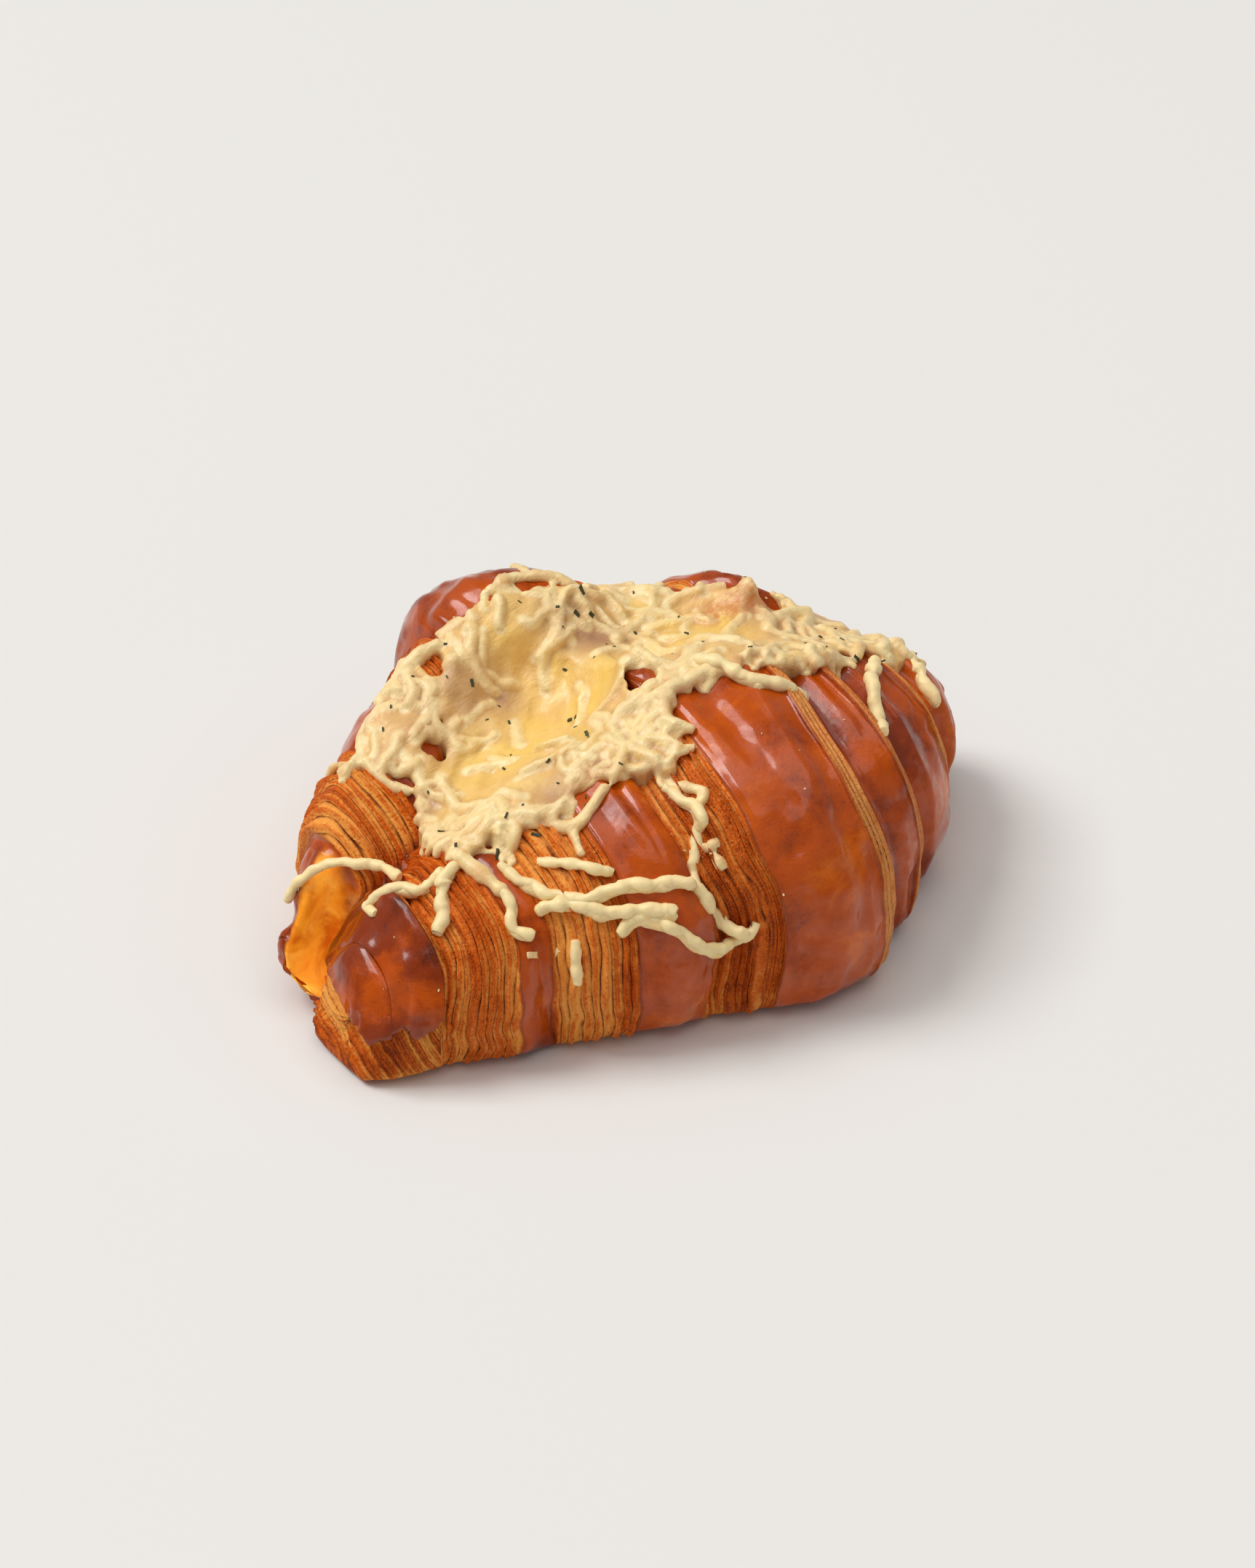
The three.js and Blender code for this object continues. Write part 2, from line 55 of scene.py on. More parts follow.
# ---------------------------------------------------------------- dough, as in the solid part
# x, fan, lean, foot y, belly y, belly z, ridge y, ridge z, inner y, lift off the tray
FRONT_ROLL = np.array([
    (-75, 0.05, 0.36, -11, -13, 10, 0, 24, 10, 0.8), (-70, 0.05, 0.3, -14, -16, 12, 0, 29, 13, 0.6),
    (-60, 0.08, 0.12, -17, -20, 13, 0, 33, 15, 0.3), (-44, 0.12, 0.04, -24, -27, 16, -3, 38, 18, 0),
    (-30, 0.14, 0, -30, -33, 19, -5, 42, 20, 0), (-12, 0.14, 0, -38, -41, 21, -6, 48, 20, 0),
    (5, 0.14, 0, -46, -47, 24, -8, 53, 20, 0), (20, 0.16, 0, -51, -53, 23, -11, 55, 18, 0),
    (30, 0.12, 0, -52, -54, 22, -13, 55, 18, 0), (38, 0, 0, -46, -49, 22, -14, 54, 18, 0),
    (50, -0.06, 0, -38, -41, 21, -14, 49, 16, 0), (64, -0.12, 0, -28, -31, 20, -12, 43, 12, 0),
    (76, -0.15, 0, -18, -21, 19, -9, 35, 7, 0.6), (82, -0.15, 0, -12, -14, 17, -6, 29, 4, 2)], float)
# x, floor front y, floor z, wall foot y, inner crest y, z, outer crest y, z, belly y, z, foot y, lift
REAR_ROLL = np.array([
    (-71, 15, 7, 19, 20, 15, 22, 16, 24, 10, 21, 5), (-65, 8, 4, 21, 22, 22, 25, 23, 28, 12, 25, 1),
    (-60, 4, 4, 22, 23, 26, 28, 28, 32, 13, 29, 0), (-56, 2, 5, 20, 15, 27, 30, 32, 36, 15, 33, 0),
    (-44, 0, 8, 22, 15, 32, 36, 39, 44, 19, 40, 0), (-28, -2, 16, 24, 25, 40, 43, 45, 53, 21, 49, 0),
    (-14, -4, 22, 28, 33, 46, 47, 50, 59, 23, 55, 0), (-4, -6, 25, 30, 38, 49, 53, 52, 65, 24, 60, 0),
    (8, -8, 28, 30, 36, 50, 50, 54, 66, 24, 61, 0), (20, -9, 31, 28, 30, 49, 43, 53, 61, 24, 56, 0),
    (34, -10, 33, 22, 22, 47, 34, 50, 51, 23, 46, 0), (48, -12, 33, 15, 14, 46, 25, 51, 41, 22, 36, 0),
    (62, -12, 32, 7, 4, 41, 12, 44, 25, 20, 21, 0), (72, -12, 24, -1, -3, 35, 3, 37, 14, 18, 11, 0.6),
    (78, -12, 15, -5, -5, 29, -1, 30, 8, 16, 6, 1.5)], float)
# how far each stretch of dough stands proud: x, mm
FRONT_BANDS = [
    (-76, 0.3), (-73, 0.9), (-66, 1.8), (-61, 0.8), (-59.5, -1.2), (-52, 1.2), (-45, 1), (-43.5, 0.7),
    (-40, 0.2), (-37.5, -0.9), (-36.5, -1.4), (-29, 1.5), (-21, 1), (-19.5, 1.3), (-13, 1.9), (-7, 0.2),
    (-5.5, -1.9), (3, 0.8), (7, 1.6), (9, 2.4), (19, 3.4), (26, 3.2), (28.8, 2.9), (31.8, 1.6), (33.2, -2.2),
    (34.6, -2.4), (37.5, 0.6), (41, 1.7), (44, 0.7), (45.6, -2.8), (47, -2.6), (51, 1), (58, 1.8), (61, 1.4),
    (63.6, 0.4), (65, -2.4), (66.5, -2.2), (71, 1), (76, 0.4), (84, 0)]
REAR_BANDS = [
    (-72, 0), (-58.5, 0), (-57, 0.8), (-49, 1.4), (-41, -0.2), (-40, -1), (-33, 1), (-27, 0.6), (-26, -1),
    (-18, 0.8), (-11.5, 0.2), (-10.5, -1), (-8.5, 2.4), (2, 4.2), (14, 3.4), (20, 2), (22, 1.2), (24, -2.2),
    (32, 0.6), (40, -0.8), (42, 0.6), (49, 2.6), (56, 1.4), (57.5, 0.8), (59.5, -1.4), (70, 0.4), (80, 0)]
# stretches where the cut layers of dough show: from x, to x, layer spacing, height of the layers, paleness
FRONT_LAYERS = [(-100, -73.5, 1.5, 0.6, 0.0), (-62.6, -45, 1.85, 1.6, 0.25), (-37, -20.8, 1.85, 1.6, 0.2),
                (-6.5, 7.4, 1.5, 1.6, -0.35), (28.8, 33, 1.3, 0.5, 0.7), (40.9, 45.3, 1.2, 0.5, 0.7),
                (60.4, 64.6, 1.2, 0.5, 0.6)]
REAR_LAYERS = [(-57.4, -40.4, 2.1, 1.7, 0.38), (-27, -11, 1.9, 1.1, 0.2), (21.6, 24.2, 1.0, 0.3, 0.3),
               (40, 42.2, 1.0, 0.3, 0.3), (57, 59.6, 1.0, 0.3, 0.3)]


def mix(a, b, t):
    """Goes from a to b as t goes from 0 to 1."""
    return a + (b - a) * t


def soft_step(low, high, value):
    """0 below low, 1 above high, eased between."""
    t = np.clip((value - low) / (high - low), 0, 1)
    return t * t * (3 - 2 * t)


def lattice(i, j, k, seed):
    """A steady pseudo-random number from -1 to 1 for each lattice corner."""
    h = (i.astype(np.uint32) * np.uint32(374761393) + j.astype(np.uint32) * np.uint32(668265263)
         + k.astype(np.uint32) * np.uint32(2246822519) + np.uint32(seed * 3266489917 % 4294967296))
    h = (h ^ (h >> np.uint32(13))) * np.uint32(1274126177)
    h = (h ^ (h >> np.uint32(16))) * np.uint32(2654435761)
    return ((h >> np.uint32(8)).astype(np.float64) / 8388608.0) - 1.0


def lumps(seed, x, y, z=0.0):
    """Smooth random swell from -1 to 1; its features are one unit apart."""
    x, y, z = np.broadcast_arrays(np.asarray(x, float), np.asarray(y, float), np.asarray(z, float))
    cell = [np.floor(c) for c in (x, y, z)]
    fx, fy, fz = [(c - f) * (c - f) * (3 - 2 * (c - f)) for c, f in zip((x, y, z), cell)]
    i, j, k = [c.astype(np.int64) for c in cell]
    total = 0
    for a in (0, 1):
        for b in (0, 1):
            for c in (0, 1):
                weight = (fx if a else 1 - fx) * (fy if b else 1 - fy) * (fz if c else 1 - fz)
                total = total + weight * lattice(i + a, j + b, k + c, seed)
    return total


def lumps_at(seed, p, size):
    """The same swell read at points, with features size millimetres apart."""
    return lumps(seed, p[..., 0] / size, p[..., 1] / size, p[..., 2] / size)


def flow(x, places, values):
    """Smooth reading of one station column with no overshoot."""
    gap = np.diff(places)
    rise = np.diff(values) / gap
    slope = np.zeros(len(places))
    slope[0], slope[-1] = rise[0], rise[-1]
    for i in range(1, len(places) - 1):
        if rise[i - 1] * rise[i] > 0:
            w1, w2 = 2 * gap[i] + gap[i - 1], gap[i] + 2 * gap[i - 1]
            slope[i] = (w1 + w2) / (w1 / rise[i - 1] + w2 / rise[i])
    k = np.clip(np.searchsorted(places, x, side="right") - 1, 0, len(places) - 2)
    t = (x - places[k]) / gap[k]
    return ((2 * t**3 - 3 * t**2 + 1) * values[k] + (t**3 - 2 * t**2 + t) * gap[k] * slope[k]
            + (3 * t**2 - 2 * t**3) * values[k + 1] + (t**3 - t**2) * gap[k] * slope[k + 1])


def front_outline(q):
    """Corners round the front roll at one station, from its foot up over the ridge."""
    foot, belly, zb, ridge, zr, inner, lift = q[2:]
    return [(mix(foot, inner, 0.22), lift), (mix(foot, inner, 0.02), lift + zr * 0.03),
            (mix(belly, foot, 0.35), mix(lift, zb, 0.45)), (belly, zb),
            (mix(belly, ridge, 0.1), mix(zb, zr, 0.45)), (mix(belly, ridge, 0.4), mix(zb, zr, 0.82)),
            (ridge, zr), (mix(ridge, inner, 0.48), mix(zr, lift, 0.1)),
            (mix(ridge, inner, 0.86), mix(zr, lift, 0.38)), (inner, mix(zr, lift, 0.66)),
            (mix(inner, ridge, 0.08), mix(zr, lift, 0.93)), (mix(foot, inner, 0.76), lift)]


def rear_outline(q):
    """Corners round the rear roll at one station, from the valley floor over the crests."""
    front, zf, wall, y1, z1, y2, z2, belly, zb, foot, lift = q
    return [(front, lift), (front - 2, mix(lift, zf, 0.6)), (mix(front, wall, 0.15), zf),
            (mix(front, wall, 0.72), zf), (wall, mix(zf, z1, 0.12)), (mix(wall, y1, 0.7), mix(zf, z1, 0.6)),
            (y1, z1), (mix(y1, y2, 0.5), mix(z1, z2, 0.75) + 0.06 * (z2 - zf)), (y2, z2),
            (mix(y2, belly, 0.62), mix(z2, zb, 0.3)), (belly, mix(z2, zb, 0.85)),
            (belly, mix(lift, zb, 0.65)), (foot, lift + 0.03 * z2), (mix(foot, front, 0.25), lift),
            (mix(foot, front, 0.6), lift)]


ROLLS = {
    "front": dict(rows=FRONT_ROLL, outline=front_outline, bands=FRONT_BANDS, ends=(3.0, 4.0)),
    "rear": dict(rows=REAR_ROLL, outline=rear_outline, bands=REAR_BANDS, ends=(1.5, 4.0)),
}


def roll_points(name, x, v, band_x=None, more=0.0):
    """Points of a roll at stations x and shares v of the way round; more lifts them off the dough."""
    roll = ROLLS[name]
    rows = roll["rows"]
    q = [flow(x, rows[:, 0], rows[:, c]) for c in range(1, rows.shape[1])]
    corners = np.array([np.broadcast_arrays(a, b) for a, b in roll["outline"](q)])
    count, spot = len(corners), np.arange(len(x))

    def outline(share):
        f = (share % 1) * count
        k = np.floor(f).astype(int) % count
        t = (f - np.floor(f))[:, None]
        p0, p1, p2, p3 = [corners[(k + s) % count, :, spot] for s in (-1, 0, 1, 2)]
        return 0.5 * (2 * p1 + (p2 - p0) * t + (2 * p0 - 5 * p1 + 4 * p2 - p3) * t**2
                      + (3 * p1 - p0 - 3 * p2 + p3) * t**3)

    here, before, after = outline(v), outline(v - 0.01), outline(v + 0.01)
    way = after - before
    way /= np.linalg.norm(way, axis=1)[:, None] + 1e-9
    places, proud = np.array(roll["bands"], float).T
    out = np.interp(x if band_x is None else band_x, places, proud)
    out = out * np.clip((here[:, 1] - 0.5) / 6, 0, 1) + more
    y = here[:, 0] - way[:, 1] * out
    z = np.maximum(here[:, 1] + way[:, 0] * out, 0)
    if name == "front":
        x = x + (y - q[5]) * q[0] + q[1] * z
    return np.stack([x, y, z], -1)


def grid_normals(grid):
    """Direction square to the surface at every point of a grid of rings."""
    along = np.gradient(grid, axis=0)
    around = np.roll(grid, -1, 1) - np.roll(grid, 1, 1)
    n = np.cross(around, along)
    return n / (np.linalg.norm(n, axis=-1)[..., None] + 1e-12)


def leaf_profile(part, count, arc, seed):
    """Height across one leaf: a rounded fold, then a flat, with some leaves standing well proud."""
    stands = 0.75 + 0.75 * lumps(seed + 80, count * 5.37, arc / 14)
    stands = stands + 0.25 * lumps(seed + 90, count * 3.1, arc / 5)
    fold = np.exp(-((part - 0.36) / 0.19) ** 2)
    flat = 0.42 * np.sin(np.pi * np.clip(part, 0, 1)) ** 0.4
    return stands * (0.7 * fold + flat) - 0.45


def layered(place, arc, zones, seed):
    """Cut layers: how high they stand, where they show, how pale they are and a count of the leaves."""
    height, shows, pale = [np.zeros_like(place) for _ in range(3)]
    leaf, nearest = np.zeros_like(place), np.full(place.shape, 1e9)
    for n, (start, end, pitch, tall, paleness) in enumerate(zones):
        edge = min(0.5, 0.22 * (end - start))
        here = soft_step(start - edge, start + edge, place) * (1 - soft_step(end - edge, end + edge, place))
        bend = 0.5 * lumps(seed + n, arc / 34, place / 14) + 0.42 * lumps(seed + n + 40, arc / 60, place / 2.6)
        bend = bend + 0.3 * lumps(seed + n + 60, arc / 17, place / 2.2)
        bend = bend + 0.1 * lumps(seed + n + 70, arc / 5, place / 2)
        s = (place - start) / pitch + bend + 40 * (n + 1)
        count = np.floor(s)
        part = s - count
        height += here * tall * leaf_profile(part, count + n, arc, seed)
        shows += here
        pale += here * paleness
        gap = np.maximum(np.maximum(start - place, place - end), 0)
        leaf = np.where(gap < nearest, s, leaf)
        nearest = np.minimum(nearest, gap)
    return height, np.clip(shows, 0, 1), pale, leaf


def smooth_dough(p, place, arc, seed):
    """Swells, long soft folds and small blisters of an unbroken band of dough."""
    swell = 0.7 * lumps_at(seed, p, 15)
    folds = 0.9 * lumps(seed + 1, place / 5.5, arc / 34) + 0.32 * lumps(seed + 2, place / 2.6, arc / 16)
    folds = folds - 1.8 * np.clip(lumps(seed + 6, place / 3.6, arc / 26) - 0.3, 0, 1)
    dents = lumps_at(seed + 4, p, 6)
    pucker = 0.08 * lumps_at(seed + 3, p, 2.6)
    blisters = np.abs(lumps_at(seed + 5, p, 5))
    return swell + folds - 0.9 * np.clip(dents - 0.15, 0, 1) + 0.5 * blisters + pucker


def crest_and_foot_tone(v):
    """A little browner along the crest and towards the foot of the roll."""
    return 0.06 * soft_step(0.28, 0.46, v) + 0.1 * (1 - soft_step(0.02, 0.25, v))


HORN_CENTRE = np.array([-77, -1.5, 12])
HORN_SLANT = np.array([0.861, -0.32, 0.394])
TUFT = 0.56  # how far round the front roll the browned tuft stands


def front_dough(x, v, arc, place, p):
    """Relief and baked tones of the front roll, with its horn and browned tuft."""
    height, shows, pale, leaf = layered(place, arc, FRONT_LAYERS, 11)
    # the horn's glossy patch ends in a slanting lip; past it and below it the leaves show
    slant = (p - HORN_CENTRE) @ HORN_SLANT + 0.8 * lumps(18, p[..., 1] / 5, p[..., 2] / 5)
    edge = 0.27 + 0.03 * lumps(19, place / 3, 0 * place)
    gloss = soft_step(4.2, 4.7, slant) * soft_step(edge, edge + 0.012, v)
    horn = 1 - soft_step(-63, -62.2, place)
    leaf_horn = slant / 1.35 + 0.35 * lumps(20, p[..., 1] / 7, p[..., 2] / 7) + 400
    low = 0.9 * leaf_profile(leaf_horn % 1, np.floor(leaf_horn), arc, 20) - 0.5
    height = mix(height, mix(low, 0.9, gloss), horn)
    shows, pale = mix(shows, 1 - gloss, horn), mix(pale, 0.4, horn)
    leaf = np.where(horn > 0.02, leaf_horn, leaf)
    lip = 4 * shows * (1 - shows)
    height = height + (1 - shows) * smooth_dough(p, place, arc, 31) + 0.35 * lip
    # layers fan out where they reach the tray
    height = height + shows * 0.5 * np.clip(1 - p[..., 2] / 12, 0, 1) * lumps(23, leaf * 1.7, arc / 12)
    # a browned tuft of dough stands up on the inner ridge
    tuft = np.exp(-((x - 8.5) / 3.6) ** 2 - ((v - TUFT) / 0.026) ** 2)
    height = height + tuft * (4.6 + 3 * lumps_at(61, p, 2.2))
    tip = (1 - soft_step(-75, -68, x)) * (1 - soft_step(3, 13, p[..., 2]))
    toast = 0.58 + 0.28 * lumps_at(71, p, 22) + 0.9 * tip + 0.35 * tuft
    toast = toast + 0.2 * np.exp(-((place - 66) / 3) ** 2) + 0.2 * np.exp(-((place - 48) / 3) ** 2)
    toast = toast + 0.3 * np.exp(-((place - 34.5) / 1.5) ** 2) + 0.55 * lip + crest_and_foot_tone(v)
    toast = toast + horn * 0.55 * lumps(73, p[..., 1] / 7, p[..., 2] / 7)
    return height, dict(layers=shows, pale=pale, leaf=leaf, toast=np.clip(toast, 0, 1.4), inside=0 * x)


def rear_dough(x, v, arc, place, p):
    """Relief and baked tones of the rear roll, with its hollow end and bare crumb."""
    height, shows, pale, leaf = layered(place, arc, REAR_LAYERS, 211)
    scoop = 1 - soft_step(-58.6, -57.2, x)
    inside = scoop * soft_step(0.05, 0.12, v) * (1 - soft_step(0.43, 0.5, v + 0.012 * lumps(261, x / 2, 0 * x)))
    crumb = (1 - scoop) * soft_step(0.2, 0.26, v) * (1 - soft_step(0.36, 0.4, v)) * (1 - soft_step(-40, -34, x))
    height = height + (1 - shows) * smooth_dough(p, place, arc, 231) * (1 - 0.75 * inside)
    height = height + crumb * 0.6 * lumps_at(251, p, 1.6)
    shows = np.clip(shows * (1 - crumb), 0, 1) + crumb * 0.9
    pale = mix(pale, 1.0, crumb)
    rim = scoop * np.exp(-((v - 0.5) / 0.03) ** 2)
    toast = 0.58 + 0.3 * lumps_at(271, p, 20) + 0.25 * rim + crest_and_foot_tone(v)
    return height, dict(layers=shows, pale=pale, leaf=leaf, toast=np.clip(toast, 0, 1.3), inside=inside)


def new_object(name, data):
    """Adds an object to the scene at the origin."""
    thing = bpy.data.objects.new(name, data)
    bpy.context.scene.collection.objects.link(thing)
    return thing


def mesh_from(name, points, faces, values=None, wrap=None):
    """Mesh in metres from points in millimetres, with one number per point for each named value."""
    mesh = bpy.data.meshes.new(name)
    points = (np.asarray(points).reshape(-1, 3) + SHIFT) * MM
    faces = np.asarray(faces)
    sides = faces.shape[1]
    mesh.vertices.add(len(points))
    mesh.vertices.foreach_set("co", points.ravel())
    mesh.loops.add(faces.size)
    mesh.loops.foreach_set("vertex_index", faces.ravel().astype(np.int32))
    mesh.polygons.add(len(faces))
    mesh.polygons.foreach_set("loop_start", np.arange(0, faces.size, sides, dtype=np.int32))
    mesh.polygons.foreach_set("loop_total", np.full(len(faces), sides, dtype=np.int32))
    mesh.update(calc_edges=True)
    mesh.polygons.foreach_set("use_smooth", np.ones(len(faces), bool))
    for key, numbers in (values or {}).items():
        layer = mesh.attributes.new(key, "FLOAT", "POINT")
        layer.data.foreach_set("value", np.asarray(numbers, np.float32).ravel())
    if wrap is not None:
        uv = mesh.uv_layers.new(name="wrap")
        uv.data.foreach_set("uv", wrap.reshape(-1, 2)[faces.ravel()].astype(np.float32).ravel())
    mesh.validate()
    return mesh


def ring_faces(rings, count):
    """Quads joining each ring of count points to the next."""
    r, k = np.meshgrid(np.arange(rings - 1), np.arange(count), indexing="ij")
    n = (k + 1) % count
    a, b = r * count + k, r * count + n
    c, d = (r + 1) * count + n, (r + 1) * count + k
    return np.stack([a, d, c, b], -1).reshape(-1, 4)


def ring_places(first, last, zones, fine, coarse):
    """Stations along a roll, close together where the cut layers show."""
    x = np.linspace(first, last, 4000)
    shown = np.zeros(len(x))
    for start, end, *_ in zones:
        here = soft_step(start - 2, start - 1, x) * (1 - soft_step(end + 1, end + 2, x))
        shown = np.maximum(shown, here)
    density = mix(1 / coarse, 1 / fine, shown)
    run = np.concatenate([[0], np.cumsum((density[1:] + density[:-1]) / 2 * np.diff(x))])
    return np.interp(np.linspace(0, run[-1], int(run[-1])), run, x)


def make_roll(name, crowd, dough, zones, cap_rings, cap_depth):
    """One roll of dough as a closed mesh with its layers, creases and baked tones."""
    roll = ROLLS[name]
    first, last = roll["rows"][0, 0], roll["rows"][-1, 0]
    xs = ring_places(first, last, zones, *RING_GAPS)
    vs = np.interp(np.linspace(0, 1, AROUND, endpoint=False), *crowd)
    X, V = [g.ravel() for g in np.meshgrid(xs, vs, indexing="ij")]
    arc = V * GIRTH
    place = X + 1.5 * lumps(5, arc / 21, X / 30) + 0.45 * lumps(6, arc / 7, X / 14)
    grid = roll_points(name, X, V, band_x=place).reshape(-1, AROUND, 3)
    place = place.reshape(-1, AROUND)
    lead = []
    for side, ring, spot in ((-1, grid[0], place[0]), (1, grid[-1], place[-1])):
        centre = ring.mean(0)
        centre[2] = (ring[:, 2].max() + ring[:, 2].min()) / 2
        depth = roll["ends"][0 if side < 0 else 1]
        reach = np.sin(np.linspace(0, 1, cap_rings + 1)[1:] * np.pi / 2)
        shrink = np.cos(np.linspace(0, 1, cap_rings + 1)[1:] * np.pi / 2) ** 0.7
        shrink[-1] = 0.002
        rings_here = centre + (ring - centre) * shrink[:, None, None]
        rings_here[..., 0] += side * depth * reach[:, None]
        places = spot + side * (1 - shrink[:, None]) * cap_depth
        lead.append((rings_here, places))
    grid = np.concatenate([lead[0][0][::-1], grid, lead[1][0]])
    place = np.concatenate([lead[0][1][::-1], place, lead[1][1]])
    total = len(grid)
    x = np.concatenate([np.full(cap_rings, first), xs, np.full(cap_rings, last)])[:, None] + 0 * place
    v = vs[None] + 0 * place
    arc = v * GIRTH
    height, values = dough(x, v, arc, place, grid)
    normal = grid_normals(grid)
    normal[:1], normal[-1:] = [-1, 0, 0], [1, 0, 0]
    if (normal[total // 2, :, 2] * (grid[total // 2, :, 2] - grid[total // 2, :, 2].mean())).sum() < 0:
        normal[1:-1] *= -1
    lift = soft_step(0.4, 5, grid[..., 2])
    grid = grid + normal * (height * lift)[..., None]
    grid[..., 2] = np.maximum(grid[..., 2], 0)
    wrap = np.stack([place, arc], -1) / WRAP_UNIT
    mesh = mesh_from(name + "_roll", grid, ring_faces(total, AROUND), values, wrap)
    piece = new_object(name + "_roll", mesh)
    close_ends(piece)
    return piece


def close_ends(piece):
    """Fills the pinhole left at each end and turns every face outward."""
    bm = bmesh.new()
    bm.from_mesh(piece.data)
    rims = [e for e in bm.edges if e.is_boundary]
    bmesh.ops.holes_fill(bm, edges=rims, sides=0)
    bmesh.ops.triangulate(bm, faces=[f for f in bm.faces if len(f.verts) > 4])
    bmesh.ops.recalc_face_normals(bm, faces=bm.faces)
    for f in bm.faces:
        f.smooth = True
    bm.to_mesh(piece.data)
    bm.free()


# share of the points against share of the way round: more of them where a roll is seen
front_roll = make_roll("front", ([0, 0.72, 1], [0, 0.62, 1]), front_dough, FRONT_LAYERS[1:], 30, 14)
rear_roll = make_roll("rear", ([0, 0.12, 0.86, 1], [0, 0.24, 0.86, 1]), rear_dough, REAR_LAYERS, 14, 8)


# ---------------------------------------------------------------- cheese
# Edge of the cheese seen from above, x and y. A good part of these points, and of the bare patches
# below (x, y, reach), was taken from what a measuring helper printed. Those weren't chosen by hand.
CHEESE_RIM = [
    (-45, 35), (-41, 38.5), (-33, 40), (-27, 42.5), (-20, 45), (-15, 43.5), (-8, 42), (-3, 43), (4, 43.5),
    (10, 40.5), (16, 37), (22, 35), (29, 34), (35, 31), (40, 26), (46, 20), (52, 17), (59, 12), (66, 5),
    (72, -1), (74, -8), (70, -14), (64, -16), (59, -11), (54, -12), (50, -14), (42, -16.5), (36, -15),
    (28, -13), (21, -10), (13, -8), (8, -7), (4, -11), (5, -14.5), (1.5, -18.5), (-3, -21), (-7, -18),
    (-9.5, -14.5), (-13, -13), (-14.5, -8), (-18, -10), (-23, -12), (-27, -11), (-30, -7), (-35, -7.5),
    (-39, -5), (-44, -5), (-47, -1), (-46, 5), (-42, 13), (-38, 18.5), (-35, 22), (-38, 26), (-43, 29.5)]
BARE_PATCHES = [(-17.5, 38.5, 2.6), (-28, 26, 2.4), (-24, 29, 1.6), (53, 12.5, 1.8), (8, 2.5, 4.6)]
# height of the cheese where it fills the valley: x, z
FILL = [(-50, 19), (-40, 27), (-30, 34), (-12, 39), (5, 42), (25, 45), (45, 46), (62, 42), (78, 32)]


def dough_tree():
    """Search tree over both rolls, in millimetres of the working frame."""
    points, faces = [], []
    for roll in (front_roll, rear_roll):
        base = len(points)
        points += [tuple(v.co / MM - Vector(SHIFT)) for v in roll.data.vertices]
        faces += [tuple(base + i for i in f.vertices) for f in roll.data.polygons]
    return BVHTree.FromPolygons(points, faces)


TREE = dough_tree()


def over(x, y):
    """A place well over the croissant, to look straight down from."""
    return Vector((x, y, 100))


def dough_top(x, y):
    """Height of the dough seen from above, for arrays of x and y."""
    flat = []
    for a, b in zip(np.ravel(x), np.ravel(y)):
        hit = TREE.ray_cast(over(a, b), DOWN)[0]
        flat.append(hit.z if hit else 0.0)
    return np.array(flat).reshape(np.shape(x))


def inside_rim(x, y, rim):
    """Signed distance to the rim, positive inside."""
    rim = np.array(rim, float)
    after = np.roll(rim, -1, 0)
    best = np.full(x.shape, 1e9)
    odd = np.zeros(x.shape, bool)
    for (ax, ay), (bx, by) in zip(rim, after):
        dx, dy = bx - ax, by - ay
        t = np.clip(((x - ax) * dx + (y - ay) * dy) / (dx * dx + dy * dy), 0, 1)
        best = np.minimum(best, np.hypot(x - ax - t * dx, y - ay - t * dy))
        crosses = (ay > y) != (by > y)
        odd ^= crosses & (x < ax + dx * (y - ay) / (dy if dy else 1e-9))
    return np.where(odd, best, -best)


def drape(height, radius):
    """Rounds every hollow of a height map, as a soft skin over it would."""
    reach = range(-radius, radius + 1)
    ball = [(a, b, math.sqrt(radius**2 - a * a - b * b))
            for a in reach for b in reach if a * a + b * b <= radius**2]
    wide = np.pad(height, 2 * radius, mode="edge")
    high = np.full(wide.shape, -1e9)
    for a, b, lift in ball:
        high = np.maximum(high, np.roll(wide, (a, b), (0, 1)) + lift)
    low = np.full(wide.shape, 1e9)
    for a, b, lift in ball:
        low = np.minimum(low, np.roll(high, (a, b), (0, 1)) - lift)
    return low[2 * radius:-2 * radius, 2 * radius:-2 * radius]


